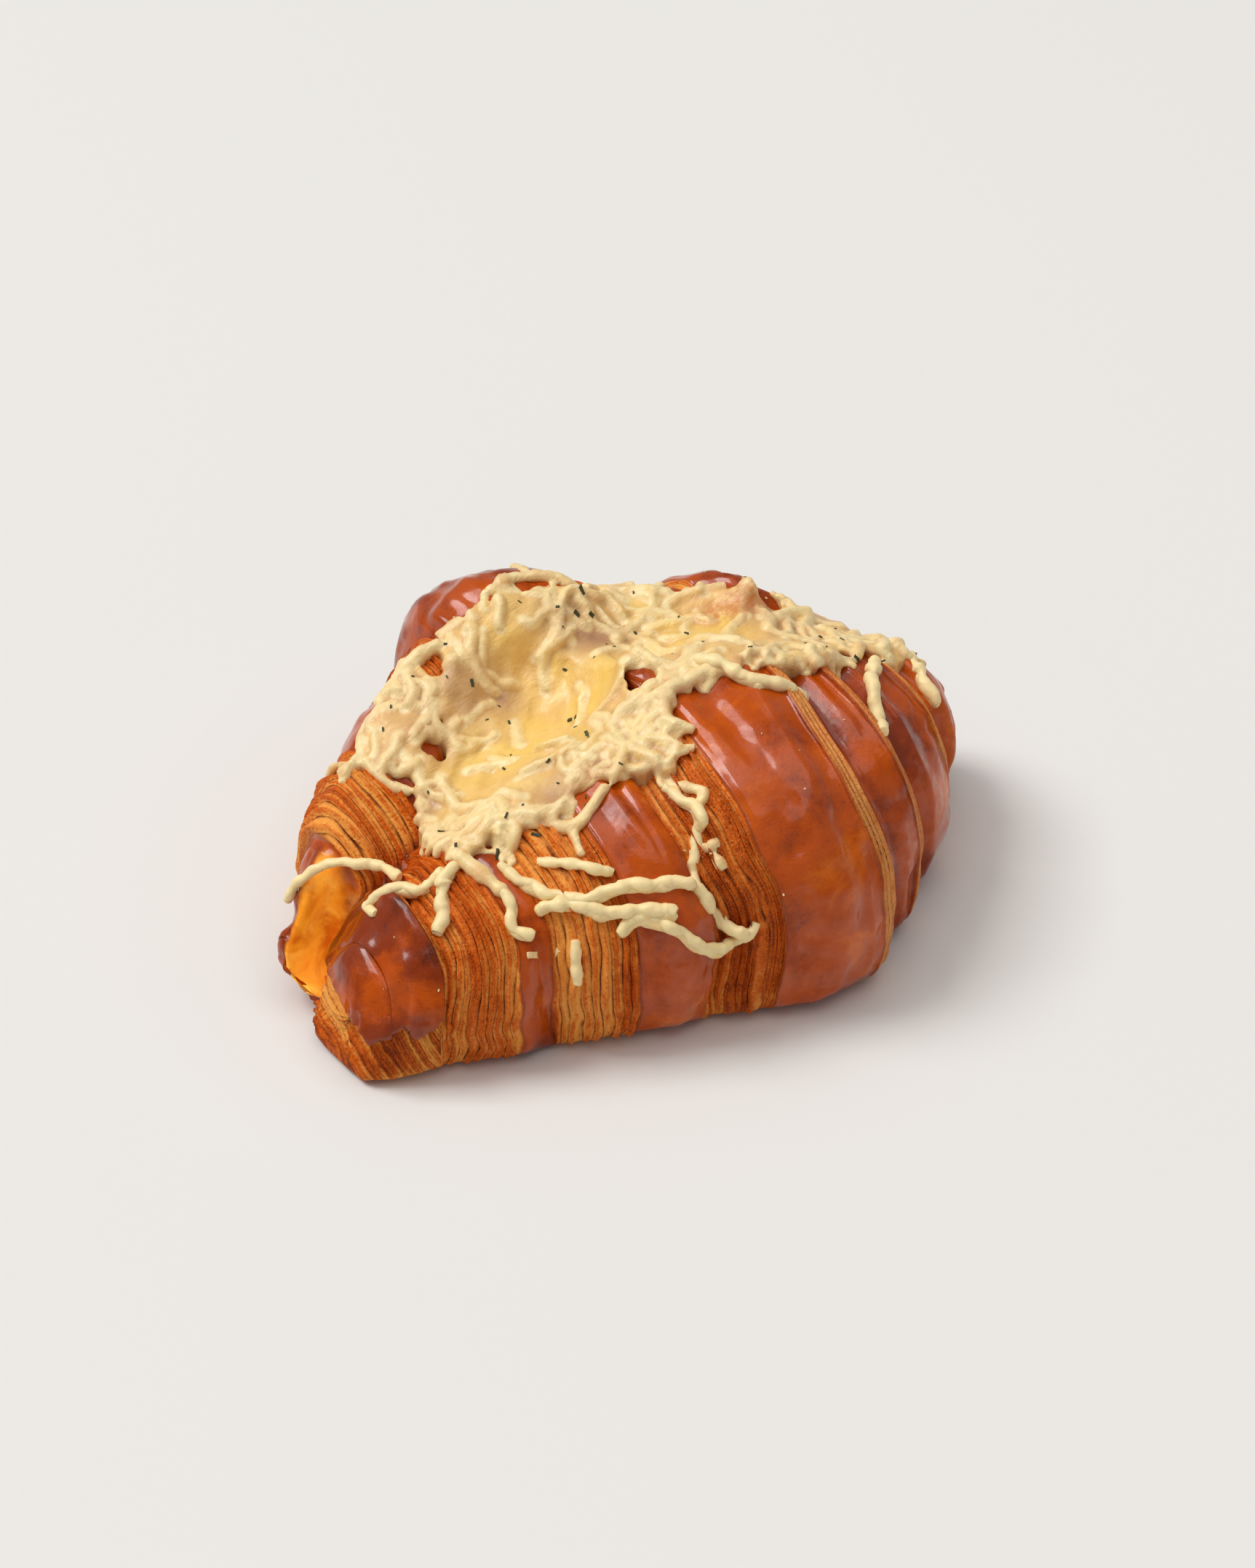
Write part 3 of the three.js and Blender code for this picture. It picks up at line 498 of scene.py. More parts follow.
def make_blanket():
    """Closed sheet of melted cheese draped over the crests and sunk in the valley."""
    step = 1.0
    xs = np.arange(-54, 84, step)
    ys = np.arange(-30, 60, step)
    X, Y = np.meshgrid(xs, ys, indexing="ij")
    top = dough_top(X, Y)
    soft = top.copy()
    for _ in range(3):
        edge = np.pad(soft, 1, mode="edge")
        soft = (edge[:-2, 1:-1] + edge[2:, 1:-1] + edge[1:-1, :-2] + edge[1:-1, 2:] + 2 * soft) / 6
    wander = 1.6 * lumps(301, X / 7, Y / 7) + 1.0 * lumps(302, X / 3, Y / 3)
    far = inside_rim(X, Y, CHEESE_RIM) + wander
    thick = 1.5 * np.clip(far / 2.5, 0, 1) ** 0.5 + 0.4 * lumps(303, X / 6, Y / 6)
    for a, b, reach in BARE_PATCHES:
        far = far - BARE_DEPTH * np.exp(-((X - a) ** 2 + (Y - b) ** 2) / reach**2)
    cover = 2.0 * np.clip(far / 3, 0, 1) ** 0.5
    crest = np.maximum(soft + thick, top + 0.45)
    for dx in range(-2, 3):
        for dy in range(-2, 3):
            gap = math.hypot(dx, dy)
            wall = np.roll(top, (dx, dy), (0, 1)) + np.sqrt(np.maximum(cover**2 - gap**2, 0))
            crest = np.where(cover > gap, np.maximum(crest, wall), crest)
    fill = np.interp(X, *np.array(FILL, float).T) + 1.2 * lumps(304, X / 11, Y / 8)
    fill = fill + 0.5 * lumps(305, X / 4, Y / 4)
    fill = fill + 8 * np.exp(-((X - 12) / 9) ** 2 - ((Y - 28) / 7) ** 2)
    upper = drape(np.where(far > -3, np.maximum(crest, fill), crest), 15)
    upper = np.maximum(np.where(far > 0, upper, crest), top + 0.35)
    lower = np.minimum(upper - 1.3, np.maximum(top - 0.8, upper - 6))
    keep = far > 0
    number = -np.ones(X.shape, int)
    cells = keep[:-1, :-1] & keep[1:, :-1] & keep[1:, 1:] & keep[:-1, 1:]
    used = np.zeros(X.shape, bool)
    for a, b in ((0, 0), (1, 0), (1, 1), (0, 1)):
        used[a:a + cells.shape[0], b:b + cells.shape[1]] |= cells
    number[used] = np.arange(used.sum())
    count = used.sum()
    points = np.concatenate([np.stack([X, Y, h], -1)[used] for h in (upper, lower)])
    ij = np.argwhere(cells)
    i, j = ij.T
    a, b, c, d = number[i, j], number[i + 1, j], number[i + 1, j + 1], number[i, j + 1]
    quads = [np.stack([a, b, c, d], -1), np.stack([a, d, c, b], -1) + count]
    edges = {}
    for quad in quads[0]:
        for s in range(4):
            e = (int(quad[s]), int(quad[(s + 1) % 4]))
            if (e[1], e[0]) in edges:
                del edges[(e[1], e[0])]
            else:
                edges[e] = True
    walls = np.array([(e[1], e[0], e[0] + count, e[1] + count) for e in edges])
    quads.append(walls)
    mesh = mesh_from("cheese_blanket", points, np.concatenate(quads))
    surface = BVHTree.FromPolygons([tuple(p) for p in points[:count]], [tuple(q) for q in quads[0]])
    return new_object("cheese_blanket", mesh), surface


blanket, BLANKET_TREE = make_blanket()


# ---------------------------------------------------------------- grated cheese laid over the top
def surface_spot(roll, x, share, lift=0.0):
    """One spot over a roll, moved up onto the cheese where the cheese covers it."""
    at = (np.array([float(x)]), np.array([share]))
    above, base = roll_points(roll, *at, more=9.0)[0], roll_points(roll, *at)[0]
    inward = Vector(base - above).normalized()
    skin = TREE.ray_cast(Vector(above), inward, 16)[0]
    spot = (np.array(skin) if skin else base) - np.array(inward) * lift
    hit = BLANKET_TREE.ray_cast(over(spot[0], spot[1]), DOWN)[0]
    near = inside_rim(spot[0:1], spot[1:2], CHEESE_RIM)[0]
    if hit is not None and near > -1 and spot[2] > 30:
        spot[2] = max(spot[2], hit.z + lift * 0.8)
    return spot


def smooth_path(points, spacing):
    """Catmull-Rom curve through the points, sampled evenly."""
    p = np.array(points, float)
    if len(p) == 2:
        p = np.stack([p[0], p.mean(0), p[1]])
    p = np.concatenate([[2 * p[0] - p[1]], p, [2 * p[-1] - p[-2]]])
    fine = []
    for i in range(1, len(p) - 2):
        for t in np.linspace(0, 1, 12, endpoint=False):
            a, b, c, d = p[i - 1:i + 3]
            fine.append(0.5 * (2 * b + (c - a) * t + (2 * a - 5 * b + 4 * c - d) * t**2
                               + (3 * b - a - 3 * c + d) * t**3))
    fine.append(p[-2])
    fine = np.array(fine)
    run = np.concatenate([[0], np.cumsum(np.linalg.norm(np.diff(fine, axis=0), axis=1))])
    count = max(4, int(run[-1] / spacing) + 1)
    even = np.linspace(0, run[-1], count)
    return np.stack([np.interp(even, run, fine[:, c]) for c in range(3)], -1)


# each strand: what it stands for in the solid part, its roll, thickness and the spots it passes through
# (station x, share of the way round the roll in hundredths). Nearly all spots of STRANDS and MELTING are
# as a measuring helper printed them, and some of BRIDGE are close to it. Those weren't chosen by hand.
STRANDS = [
    ("strand_horn_low", "front", 1.35, [(-69, 58), (-71, 53)]),
    ("strand_horn_top", "front", 1.45, [(-69, 57), (-62, 52), (-55, 49), (-51, 49)]),
    ("strand_hook", "front", 1.75, [(-48, 49), (-52, 48), (-55, 45), (-59, 43)]),
    ("strand_long_upper", "front", 1.5,
     [(-39, 47), (-37, 44), (-33, 41), (-29, 39), (-20, 38), (-10, 36), (-7, 35)]),
    ("strand_corner", "front", 1.4, [(-42, 44), (-42, 42), (-44, 39), (-40, 37)]),
    ("strand_long_lower", "front", 1.7, [(-37, 40), (-34, 40), (-29, 38), (-25, 36), (-19, 35), (-13, 33)]),
    ("strand_drooping", "front", 1.5,
     [(-24, 33), (-20, 34), (-15, 32), (-11, 29), (-6, 26), (-1, 25), (2, 26), (3, 27)]),
    ("strand_steep", "front", 1.5,
     [(-3, 45), (-2, 44), (-1, 41), (-2, 40), (-6, 36), (-6, 33), (-4, 30), (-2, 27.6), (1, 26.4)]),
    ("strand_middle", "front", 1.4, [(-32, 45), (-26, 42), (-21, 40)]),
    ("strand_crest", "front", 1.9, [(17, 53), (20, 51), (23, 49), (29, 48), (34, 47)]),
    ("strand_right", "front", 1.8, [(59, 49), (51, 46), (47, 43), (42, 41)]),
    ("strand_end", "front", 1.7, [(73, 49), (69, 43), (68, 39)]),
    ("strand_loose", "front", 1.4, [(-32, 34), (-33, 31), (-34, 27)]),
]
BRIDGE = [(-66, 28, 20), (-65, 25, 26), (-60, 22, 30), (-56, 16, 32), (-53, 11, 32), (-53, 6, 33)]
MELTING = [
    ("rear", 1.4, [(1, 47), (9, 49), (16, 49), (20, 47)]), ("rear", 1.5, [(-31, 53), (-21, 52), (-13, 48)]),
    ("front", 1.3, [(-2, 45), (2, 43), (0, 42), (-2, 40)]), ("front", 1.3, [(-3, 38), (1, 38)]),
    ("front", 1.3, [(-1, 37), (-1, 35)]), ("front", 1.5, [(4, 48), (8, 47)]),
    ("front", 1.5, [(1, 46), (6, 46)]),
    ("front", 1.4, [(-7, 51), (-2, 46)]), ("front", 1.5, [(-13, 47), (-19, 46), (-23, 46), (-26, 47)]),
    ("front", 1.3, [(-23, 46), (-24, 43)]), ("rear", 1.4, [(-42, 50), (-41, 46), (-38, 43)]),
    ("rear", 1.5, [(-46, 53), (-43, 51)]), ("front", 1.7, [(-46, 50), (-42, 44)]),
    ("front", 1.6, [(-44, 52), (-40, 51), (-35, 52)]),
    ("front", 1.3, [(12, 51), (18, 51), (22, 50), (25, 48)]),
    ("front", 1.5, [(54, 47), (63, 46)]), ("front", 1.5, [(40, 47), (43, 45)]),
    ("rear", 1.6, [(27, 52), (34, 47)]), ("rear", 1.5, [(40, 48), (44, 47), (53, 51)]),
    ("rear", 1.4, [(-27, 50), (-22, 56)]), ("rear", 1.4, [(-12, 50), (-6, 46)]),
    ("rear", 1.3, [(12, 50), (14, 55)]),
    ("rear", 1.4, [(22, 49), (27, 54), (33, 52)]), ("rear", 1.3, [(60, 50), (66, 52)]),
    ("front", 1.4, [(46, 50), (53, 50), (60, 52)]), ("front", 1.4, [(64, 50), (70, 52)])]


def strand_mesh(name, courses):
    """Paths with a thickness at every point, ready to be given a round section."""
    points, edges, thick = [], [], []
    for radius, path, uneven in courses:
        base = len(points)
        share = np.linspace(0, 1, len(path))
        ends = np.clip(np.minimum(share, 1 - share) * len(path) * 0.3 / radius + 0.66, 0, 1) ** 0.7
        run = np.arange(len(path)) * PATH_STEP
        waver = lumps(400 + base % 97, run / 2.3, radius * 3) + 0.5 * lumps(431, run / 0.9, radius * 7)
        swell = 1 + uneven * waver
        drift = np.stack([lumps(440 + base % 89 + c, run / 3.0, radius * 5) for c in range(3)], -1)
        points += list(path + drift * (0.5, 0.5, 0.15))
        thick += list(radius * ends * swell)
        edges += [(base + i, base + i + 1) for i in range(len(path) - 1)]
    mesh = bpy.data.meshes.new(name)
    mesh.from_pydata([tuple((np.array(p) + SHIFT) * MM) for p in points], edges, [])
    layer = mesh.attributes.new("thickness", "FLOAT", "POINT")
    layer.data.foreach_set("value", np.array(thick, np.float32) * MM)
    return new_object(name, mesh)


def node(tree, kind, **settings):
    """Adds a node with its settings."""
    made = tree.nodes.new(kind)
    for key, value in settings.items():
        setattr(made, key, value)
    return made


def wire(tree, *pairs):
    """Joins each output to the input given with it."""
    for start, end in pairs:
        tree.links.new(start, end)


def named(tree, name, kind="FLOAT"):
    """Reads one of a piece's own values in a geometry tree."""
    made = node(tree, "GeometryNodeInputNamedAttribute", data_type=kind)
    made.inputs["Name"].default_value = name
    return made.outputs["Attribute"]


def geometry_tree(name, takes, gives):
    """An empty geometry tree, the outputs that bring in its values and the input that takes its result."""
    tree = bpy.data.node_groups.new(name, "GeometryNodeTree")
    for key, kind, value in takes:
        socket = tree.interface.new_socket(key, in_out="INPUT", socket_type="NodeSocket" + kind)
        if value is not None:
            socket.default_value = value
    tree.interface.new_socket(gives, in_out="OUTPUT", socket_type="NodeSocketGeometry")
    return tree, node(tree, "NodeGroupInput").outputs, node(tree, "NodeGroupOutput").inputs[gives]


def roughen(tree, geometry, amount, seed, scale):
    """Moves every point a little way by noise of the given scale."""
    noise = node(tree, "ShaderNodeTexNoise", noise_dimensions="4D")
    noise.inputs["Scale"].default_value = scale
    centred = node(tree, "ShaderNodeVectorMath", operation="SUBTRACT")
    centred.inputs[1].default_value = (0.5, 0.5, 0.5)
    scaled = node(tree, "ShaderNodeVectorMath", operation="SCALE")
    move = node(tree, "GeometryNodeSetPosition")
    wire(tree, (seed, noise.inputs["W"]), (noise.outputs["Color"], centred.inputs[0]),
         (centred.outputs["Vector"], scaled.inputs[0]), (amount, scaled.inputs["Scale"]),
         (scaled.outputs["Vector"], move.inputs["Offset"]), (geometry, move.inputs["Geometry"]))
    return move.outputs["Geometry"]


def round_section_tree():
    """Gives every path a round, slightly wavy section."""
    tree, take, give = geometry_tree("grated_strand", [
        ("Paths", "Geometry", None), ("Sides", "Int", 12), ("Wave", "Float", 0.0004), ("Seed", "Float", 3.0),
        ("Material", "Material", None)], "Strands")
    curve = node(tree, "GeometryNodeMeshToCurve")
    circle = node(tree, "GeometryNodeCurvePrimitiveCircle")
    circle.inputs["Radius"].default_value = 1.0
    sweep = node(tree, "GeometryNodeCurveToMesh")
    sweep.inputs["Fill Caps"].default_value = True
    wire(tree, (take["Paths"], curve.inputs["Mesh"]), (take["Sides"], circle.inputs["Resolution"]),
         (curve.outputs["Curve"], sweep.inputs["Curve"]),
         (circle.outputs["Curve"], sweep.inputs["Profile Curve"]),
         (named(tree, "thickness"), sweep.inputs["Scale"]))
    wavy = roughen(tree, sweep.outputs["Mesh"], take["Wave"], take["Seed"], 420.0)
    real = node(tree, "GeometryNodeRealizeInstances")
    smooth = node(tree, "GeometryNodeSetShadeSmooth")
    finish = node(tree, "GeometryNodeSetMaterial")
    wire(tree, (wavy, real.inputs["Geometry"]), (real.outputs["Geometry"], smooth.inputs["Geometry"]),
         (smooth.outputs["Geometry"], finish.inputs["Geometry"]), (take["Material"], finish.inputs["Material"]),
         (finish.outputs["Geometry"], give))
    return tree


def grow(thing, tree, **inputs):
    """Runs a geometry tree on an object once and keeps the result as a plain mesh."""
    modifier = thing.modifiers.new("grow", "NODES")
    modifier.node_group = tree
    for item in tree.interface.items_tree:
        if item.item_type == "SOCKET" and item.in_out == "INPUT" and item.name in inputs:
            modifier[item.identifier] = inputs[item.name]
    bpy.context.view_layer.update()
    ready = thing.evaluated_get(bpy.context.evaluated_depsgraph_get())
    mesh = bpy.data.meshes.new_from_object(ready)
    thing.modifiers.remove(modifier)
    old = thing.data
    thing.data = mesh
    bpy.data.meshes.remove(old)
    return thing


def top_spot(x, y, sink):
    """Height for a strand lying on whatever is uppermost at x, y."""
    hits = [surface.ray_cast(over(x, y), DOWN)[0] for surface in (TREE, BLANKET_TREE)]
    heights = [hit.z for hit in hits if hit]
    return max(heights) - sink if heights else None


def rim_distance(x, y):
    """How far inside the cheese's edge a spot is, less where the crust is left bare."""
    bare = sum(BARE_DEPTH * math.exp(-((x - a) ** 2 + (y - b) ** 2) / reach**2) for a, b, reach in BARE_PATCHES)
    return float(inside_rim(np.array([x]), np.array([y]), CHEESE_RIM)[0]) - bare


def wandering_strands(count, seed, outward):
    """Short strands lying on the cheese, or reaching from its rim out over the crust."""
    luck = np.random.default_rng(seed)
    rim = np.array(CHEESE_RIM, float)
    made = []
    while len(made) < count:
        if outward:
            k = luck.integers(len(rim))
            spot = mix(rim[k], rim[(k + 1) % len(rim)], luck.random())
            side = rim[(k + 1) % len(rim)] - rim[k]
            heading = math.atan2(side[0], -side[1]) + luck.uniform(-1.0, 1.0)
            spot = spot - 3.0 * np.array([math.cos(heading), math.sin(heading)])
            length = luck.uniform(5, 9)
        else:
            spot = np.array([luck.uniform(-46, 76), luck.uniform(-20, 52)])
            inside = rim_distance(*spot)
            if inside < 0.5 or luck.random() > (1.0 if inside < 7 else 0.2):
                continue
            heading = luck.uniform(0, 2 * math.pi)
            length = luck.uniform(6, 17)
        radius = luck.uniform(0.8, 1.35)
        deep = luck.uniform(-0.35, 0.45) * radius
        path = []
        for _ in range(int(length)):
            z = top_spot(spot[0], spot[1], deep)
            on_bare = not outward and rim_distance(*spot) < -1
            if z is None or z < 24 or on_bare or (path and abs(z - path[-1][2]) > 3.5):
                break
            path.append((spot[0], spot[1], z))
            spot = spot + np.array([math.cos(heading), math.sin(heading)])
            heading += luck.normal(0, 0.32)
        if len(path) >= 4:
            made.append((radius, smooth_path(path, 0.7), 0.12))
    return made


strand_tree = round_section_tree()


def course(roll, radius, spots, lift=0.5):
    """Path of a strand through its spots, lying on whatever is there."""
    return smooth_path([surface_spot(roll, x, v / 100, lift * radius) for x, v in spots], PATH_STEP)


laid = {name: (radius, course(roll, radius, spots)) for name, roll, radius, spots in STRANDS}
laid["strand_bridge"] = (1.35, smooth_path(BRIDGE, PATH_STEP))
melted = [(radius, course(roll, radius, spots, 0.1), 0.15) for roll, radius, spots in MELTING]
feet = [(radius * 0.75, path - np.array([0, 0, 0.8]), 0.1) for name, (radius, path) in laid.items()
        if name not in ("strand_loose", "strand_bridge", "strand_horn_low")]
loose_ends = wandering_strands(46, 21, True)
sunk = wandering_strands(150, 22, False)


def make_cheese():
    """Melts the blanket and the strands lying in it into one body."""
    lumpy = strand_mesh("melting_strands", melted + feet + loose_ends + sunk)
    grow(lumpy, strand_tree, Sides=8, Wave=0.0003, Seed=5.0)
    bm = bmesh.new()
    bm.from_mesh(blanket.data)
    bm.from_mesh(lumpy.data)
    bmesh.ops.triangulate(bm, faces=bm.faces)
    body = bpy.data.meshes.new("cheese")
    bm.to_mesh(body)
    bm.free()
    for used in (lumpy, blanket):
        old = used.data
        bpy.data.objects.remove(used)
        bpy.data.meshes.remove(old)
    cheese = new_object("cheese", body)
    melt = cheese.modifiers.new("melt", "REMESH")
    melt.mode = "VOXEL"
    melt.voxel_size = VOXEL * MM
    melt.use_smooth_shade = True
    ease = cheese.modifiers.new("ease", "SMOOTH")
    ease.factor = 0.5
    ease.iterations = 3
    ready = cheese.evaluated_get(bpy.context.evaluated_depsgraph_get())
    mesh = bpy.data.meshes.new_from_object(ready)
    cheese.modifiers.clear()
    cheese.data = mesh
    bpy.data.meshes.remove(body)
    return keep_largest(cheese)


def keep_largest(thing):
    """Drops any scrap that isn't joined to the main body."""
    bm = bmesh.new()
    bm.from_mesh(thing.data)
    bm.verts.ensure_lookup_table()
    label = [-1] * len(bm.verts)
    sizes = []
    for v in bm.verts:
        if label[v.index] >= 0:
            continue
        label[v.index] = len(sizes)
        stack, size = [v], 0
        while stack:
            one = stack.pop()
            size += 1
            for e in one.link_edges:
                other = e.other_vert(one)
                if label[other.index] < 0:
                    label[other.index] = len(sizes)
                    stack.append(other)
        sizes.append(size)
    main = sizes.index(max(sizes))
    bmesh.ops.delete(bm, geom=[v for v in bm.verts if label[v.index] != main], context="VERTS")
    bmesh.ops.recalc_face_normals(bm, faces=bm.faces)
    bm.to_mesh(thing.data)
    bm.free()
    thing.data.update()
    return thing


def points_of(thing):
    """Points of a piece in millimetres of the working frame."""
    flat = np.empty(len(thing.data.vertices) * 3, np.float32)
    thing.data.vertices.foreach_get("co", flat)
    return flat.reshape(-1, 3).astype(float) / MM - SHIFT


def normals_of(thing):
    """Outward directions at the points of a piece."""
    flat = np.empty(len(thing.data.vertices) * 3, np.float32)
    thing.data.vertex_normals.foreach_get("vector", flat)
    return flat.reshape(-1, 3).astype(float)


def put_values(thing, **values):
    """Stores one number per point for each named value."""
    for key, numbers in values.items():
        layer = thing.data.attributes.get(key) or thing.data.attributes.new(key, "FLOAT", "POINT")
        layer.data.foreach_set("value", np.clip(numbers, 0, 2).astype(np.float32))


def near(p, spots, reach):
    """Soft mask around a few spots (x, y), each reach millimetres wide."""
    total = np.zeros(len(p))
    for x, y in spots:
        total = np.maximum(total, np.exp(-(((p[:, 0] - x) ** 2 + (p[:, 1] - y) ** 2) / reach**2)))
    return total


def cavities(thing, p, n):
    """How far each point lies below its surroundings, 0 to 1."""
    ends = np.empty(len(thing.data.edges) * 2, np.int32)
    thing.data.edges.foreach_get("vertices", ends)
    a, b = ends.reshape(-1, 2).T
    count = np.maximum(np.bincount(a, minlength=len(p)) + np.bincount(b, minlength=len(p)), 1)
    around = p.copy()
    for _ in range(10):
        total = np.stack([np.bincount(a, around[b, c], len(p)) + np.bincount(b, around[a, c], len(p))
                          for c in range(3)], -1)
        around = 0.5 * around + 0.5 * total / count[:, None]
    return np.clip(((around - p) * n).sum(1) / 0.28, 0, 1)


def finish_cheese(cheese):
    """Fine wrinkles, and the masks for strands, soft yellow melt, grey fat with painted shade in the hollows,
    and browned edges.
    """
    p, n = points_of(cheese), normals_of(cheese)
    paths = [(r, q) for r, q, _ in melted + loose_ends + sunk + feet]
    tree = KDTree(sum(len(q) for _, q in paths))
    radii = []
    for r, q in paths:
        for spot in q:
            tree.insert(Vector(spot), len(radii))
            radii.append(r)
    tree.balance()
    strand = np.zeros(len(p))
    for i, spot in enumerate(p):
        _, k, gap = tree.find(Vector(spot))
        strand[i] = 1 - min(1, max(0, (gap - 0.75 * radii[k]) / (0.7 * radii[k])))
    X, Y = p[:, 0], p[:, 1]
    along, across = 0.8 * X + 0.6 * Y, 0.8 * Y - 0.6 * X
    flowline = lumps(501, along / 11 + 0.5 * lumps(502, X / 8, Y / 8), across / 2.2, p[:, 2] / 6)
    fine = lumps_at(503, p, 2.2)
    broad = lumps_at(508, p, 6)
    push = 0.5 * flowline * (1 - 0.7 * strand) + 0.2 * fine + 0.5 * broad + 0.05 * lumps_at(504, p, 1)
    cheese.data.vertices.foreach_set("co", (((p + n * push[:, None]) + SHIFT) * MM).astype(np.float32).ravel())
    # spots for the soft yellow melt, greasy patches and browning, mostly rounded from what a measuring
    # helper printed
    middle = near(p, [(-33, 12), (-28, 15), (-24, 18), (-18, 14), (-13, 9), (-9, 1), (-8, 19), (-3, 25),
                      (2, 24), (10, 14), (2, 14), (24, 19), (31, 19), (34, 13), (28, 24), (41, 11), (-2, 34)], 7)
    cloud = 0.5 + 0.5 * lumps_at(505, p, 10)
    yellow = np.clip(middle * (0.5 + 0.8 * cloud) * (1 - 0.5 * strand), 0, 1)
    patches = near(p, [(14, 25), (20, 24), (11, 30), (-15, 31), (-10, 29), (-14, -9), (-21, -8), (-38, 16),
                       (-27, 28), (48, 9)], 5.5)
    depth = p[:, 2] - dough_top(X, Y)
    thin = np.clip(1.15 - depth / 2.2, 0, 1) * (1 - strand) * (0.6 + 0.4 * lumps_at(509, p, 3))
    greasy = 0.35 + 0.9 * (0.5 + 0.5 * lumps_at(506, p, 4))
    grey = np.clip(patches * greasy * (1 - 0.75 * strand), 0, 1)
    grey = np.maximum(grey, 0.85 * thin)
    # Painted shade: the cheese is greyed and tanned in its hollows, where shade falls.
    hollow = cavities(cheese, p, n)
    grey = np.maximum(grey, 0.8 * hollow * (1 - 0.6 * yellow))
    baked = near(p, [(44, 14), (41, 16), (48, 12.5)], 4.5) * 0.8
    rim = 1 - np.clip(inside_rim(X, Y, CHEESE_RIM) / 3.0, 0, 1)
    baked = np.clip(baked + rim * 0.5 * np.clip(lumps_at(507, p, 5), 0, 1), 0, 1)
    put_values(cheese, strand=strand, yellow=yellow, grey=grey, baked=baked)
    for f in cheese.data.polygons:
        f.use_smooth = True
    cheese.data.update()


cheese = make_cheese()
finish_cheese(cheese)


# ---------------------------------------------------------------- ham
def make_ham():
    """Thin folded slice lying in the valley under the cheese, its edge showing at the open end."""
    xs, shares = np.arange(-53, 60, 0.8), np.linspace(0, 1, 46)
    X, S = np.meshgrid(xs, shares, indexing="ij")
    front = np.interp(xs, [-53, -44, -30, 0, 30, 60], [10, 12, 9, 4, -2, -6])
    back = np.interp(xs, [-53, -44, -30, 0, 30, 60], [17, 21, 25, 29, 20, 6])
    Y = front[:, None] + (back - front)[:, None] * S
    floor = dough_top(X, Y)
    folds = 2.2 * lumps(601, X / 6, Y / 4) + 1.0 * lumps(602, X / 3, Y / 3)
    Z = np.interp(X, [-53, -46, -38, -20, 10, 40, 60], [22, 24, 25, 30, 36, 38, 34]) + folds
    Z = np.minimum(Z, np.interp(X, [-53, -47, -44, 60], [99, 99, 30, 42]))
    Z = np.maximum(Z, np.minimum(floor, Z + 4) + 0.3)
    top = np.stack([X, Y, Z], -1)
    low = top - np.array([0, 0, 1.5])
    rows, cols = X.shape
    number = np.arange(rows * cols).reshape(rows, cols)
    a, b, c, d = number[:-1, :-1], number[1:, :-1], number[1:, 1:], number[:-1, 1:]
    faces = [np.stack([a, b, c, d], -1).reshape(-1, 4), np.stack([a, d, c, b], -1).reshape(-1, 4) + rows * cols]
    loop = np.concatenate([number[:, 0], number[-1, 1:], number[-2::-1, -1], number[0, -2:0:-1]])
    after = np.roll(loop, -1)
    faces.append(np.stack([after, loop, loop + rows * cols, after + rows * cols], -1))
    mesh = mesh_from("ham", np.concatenate([top.reshape(-1, 3), low.reshape(-1, 3)]), np.concatenate(faces))
    piece = new_object("ham", mesh)
    close_ends(piece)
    return piece


ham = make_ham()


# ---------------------------------------------------------------- materials
def colour(red, green, blue):
    """Linear colour from everyday 0 to 255 values."""
    out = []
    for c in (red, green, blue):
        c /= 255
        out.append(c / 12.92 if c <= 0.04045 else ((c + 0.055) / 1.055) ** 2.4)
    return (*out, 1.0)


KINDS = {"float": "NodeSocketFloat", "colour": "NodeSocketColor", "vector": "NodeSocketVector"}


class Graph:
    """Small helper that builds a shader node group or a material tree."""

    def __init__(self, tree):
        self.tree = tree

    def put(self, socket, value):
        if hasattr(value, "is_output"):
            self.tree.links.new(value, socket)
        else:
            socket.default_value = value

    def make(self, kind, puts, **settings):
        made = node(self.tree, kind, **settings)
        for key, value in puts.items():
            self.put(made.inputs[key], value)
        return made.outputs

    def noise(self, vector, scale, detail=3.0, rough=0.55, warp=0.0):
        return self.make("ShaderNodeTexNoise", {"Vector": vector, "Scale": scale, "Detail": detail,
                                                "Roughness": rough, "Distortion": warp})[0]

    def cells(self, vector, scale):
        return self.make("ShaderNodeTexVoronoi", {"Vector": vector, "Scale": scale})["Distance"]

    def maths(self, operation, a, b=0.0):
        return self.make("ShaderNodeMath", {0: a, 1: b}, operation=operation)[0]

    def add(self, first, *more):
        for value in more:
            first = self.maths("ADD", first, value)
        return first

    def times(self, a, b):
        return self.maths("MULTIPLY", a, b)

    def swing(self, value, middle, amount):
        """How far a value lies from its middle, times amount."""
        return self.times(self.maths("SUBTRACT", value, middle), amount)

    def ramp(self, value, low, high, to_low=0.0, to_high=1.0):
        return self.make("ShaderNodeMapRange", {"Value": value, "From Min": low, "From Max": high,
                                                "To Min": to_low, "To Max": to_high},
                         interpolation_type="SMOOTHSTEP")[0]

    def blend(self, share, a, b):
        return self.make("ShaderNodeMix", {"Factor": share, 6: a, 7: b}, data_type="RGBA")[2]

    def stretch(self, vector, by):
        return self.make("ShaderNodeMapping", {"Vector": vector, "Scale": by})[0]

    def attribute(self, name):
        return self.make("ShaderNodeAttribute", {}, attribute_name=name)["Fac"]

    def place(self):
        return self.make("ShaderNodeTexCoord", {})["Object"]

    def wrap(self):
        return self.make("ShaderNodeUVMap", {}, uv_map="wrap")["UV"]

    def use(self, group, **values):
        return self.make("ShaderNodeGroup", values, node_tree=group)


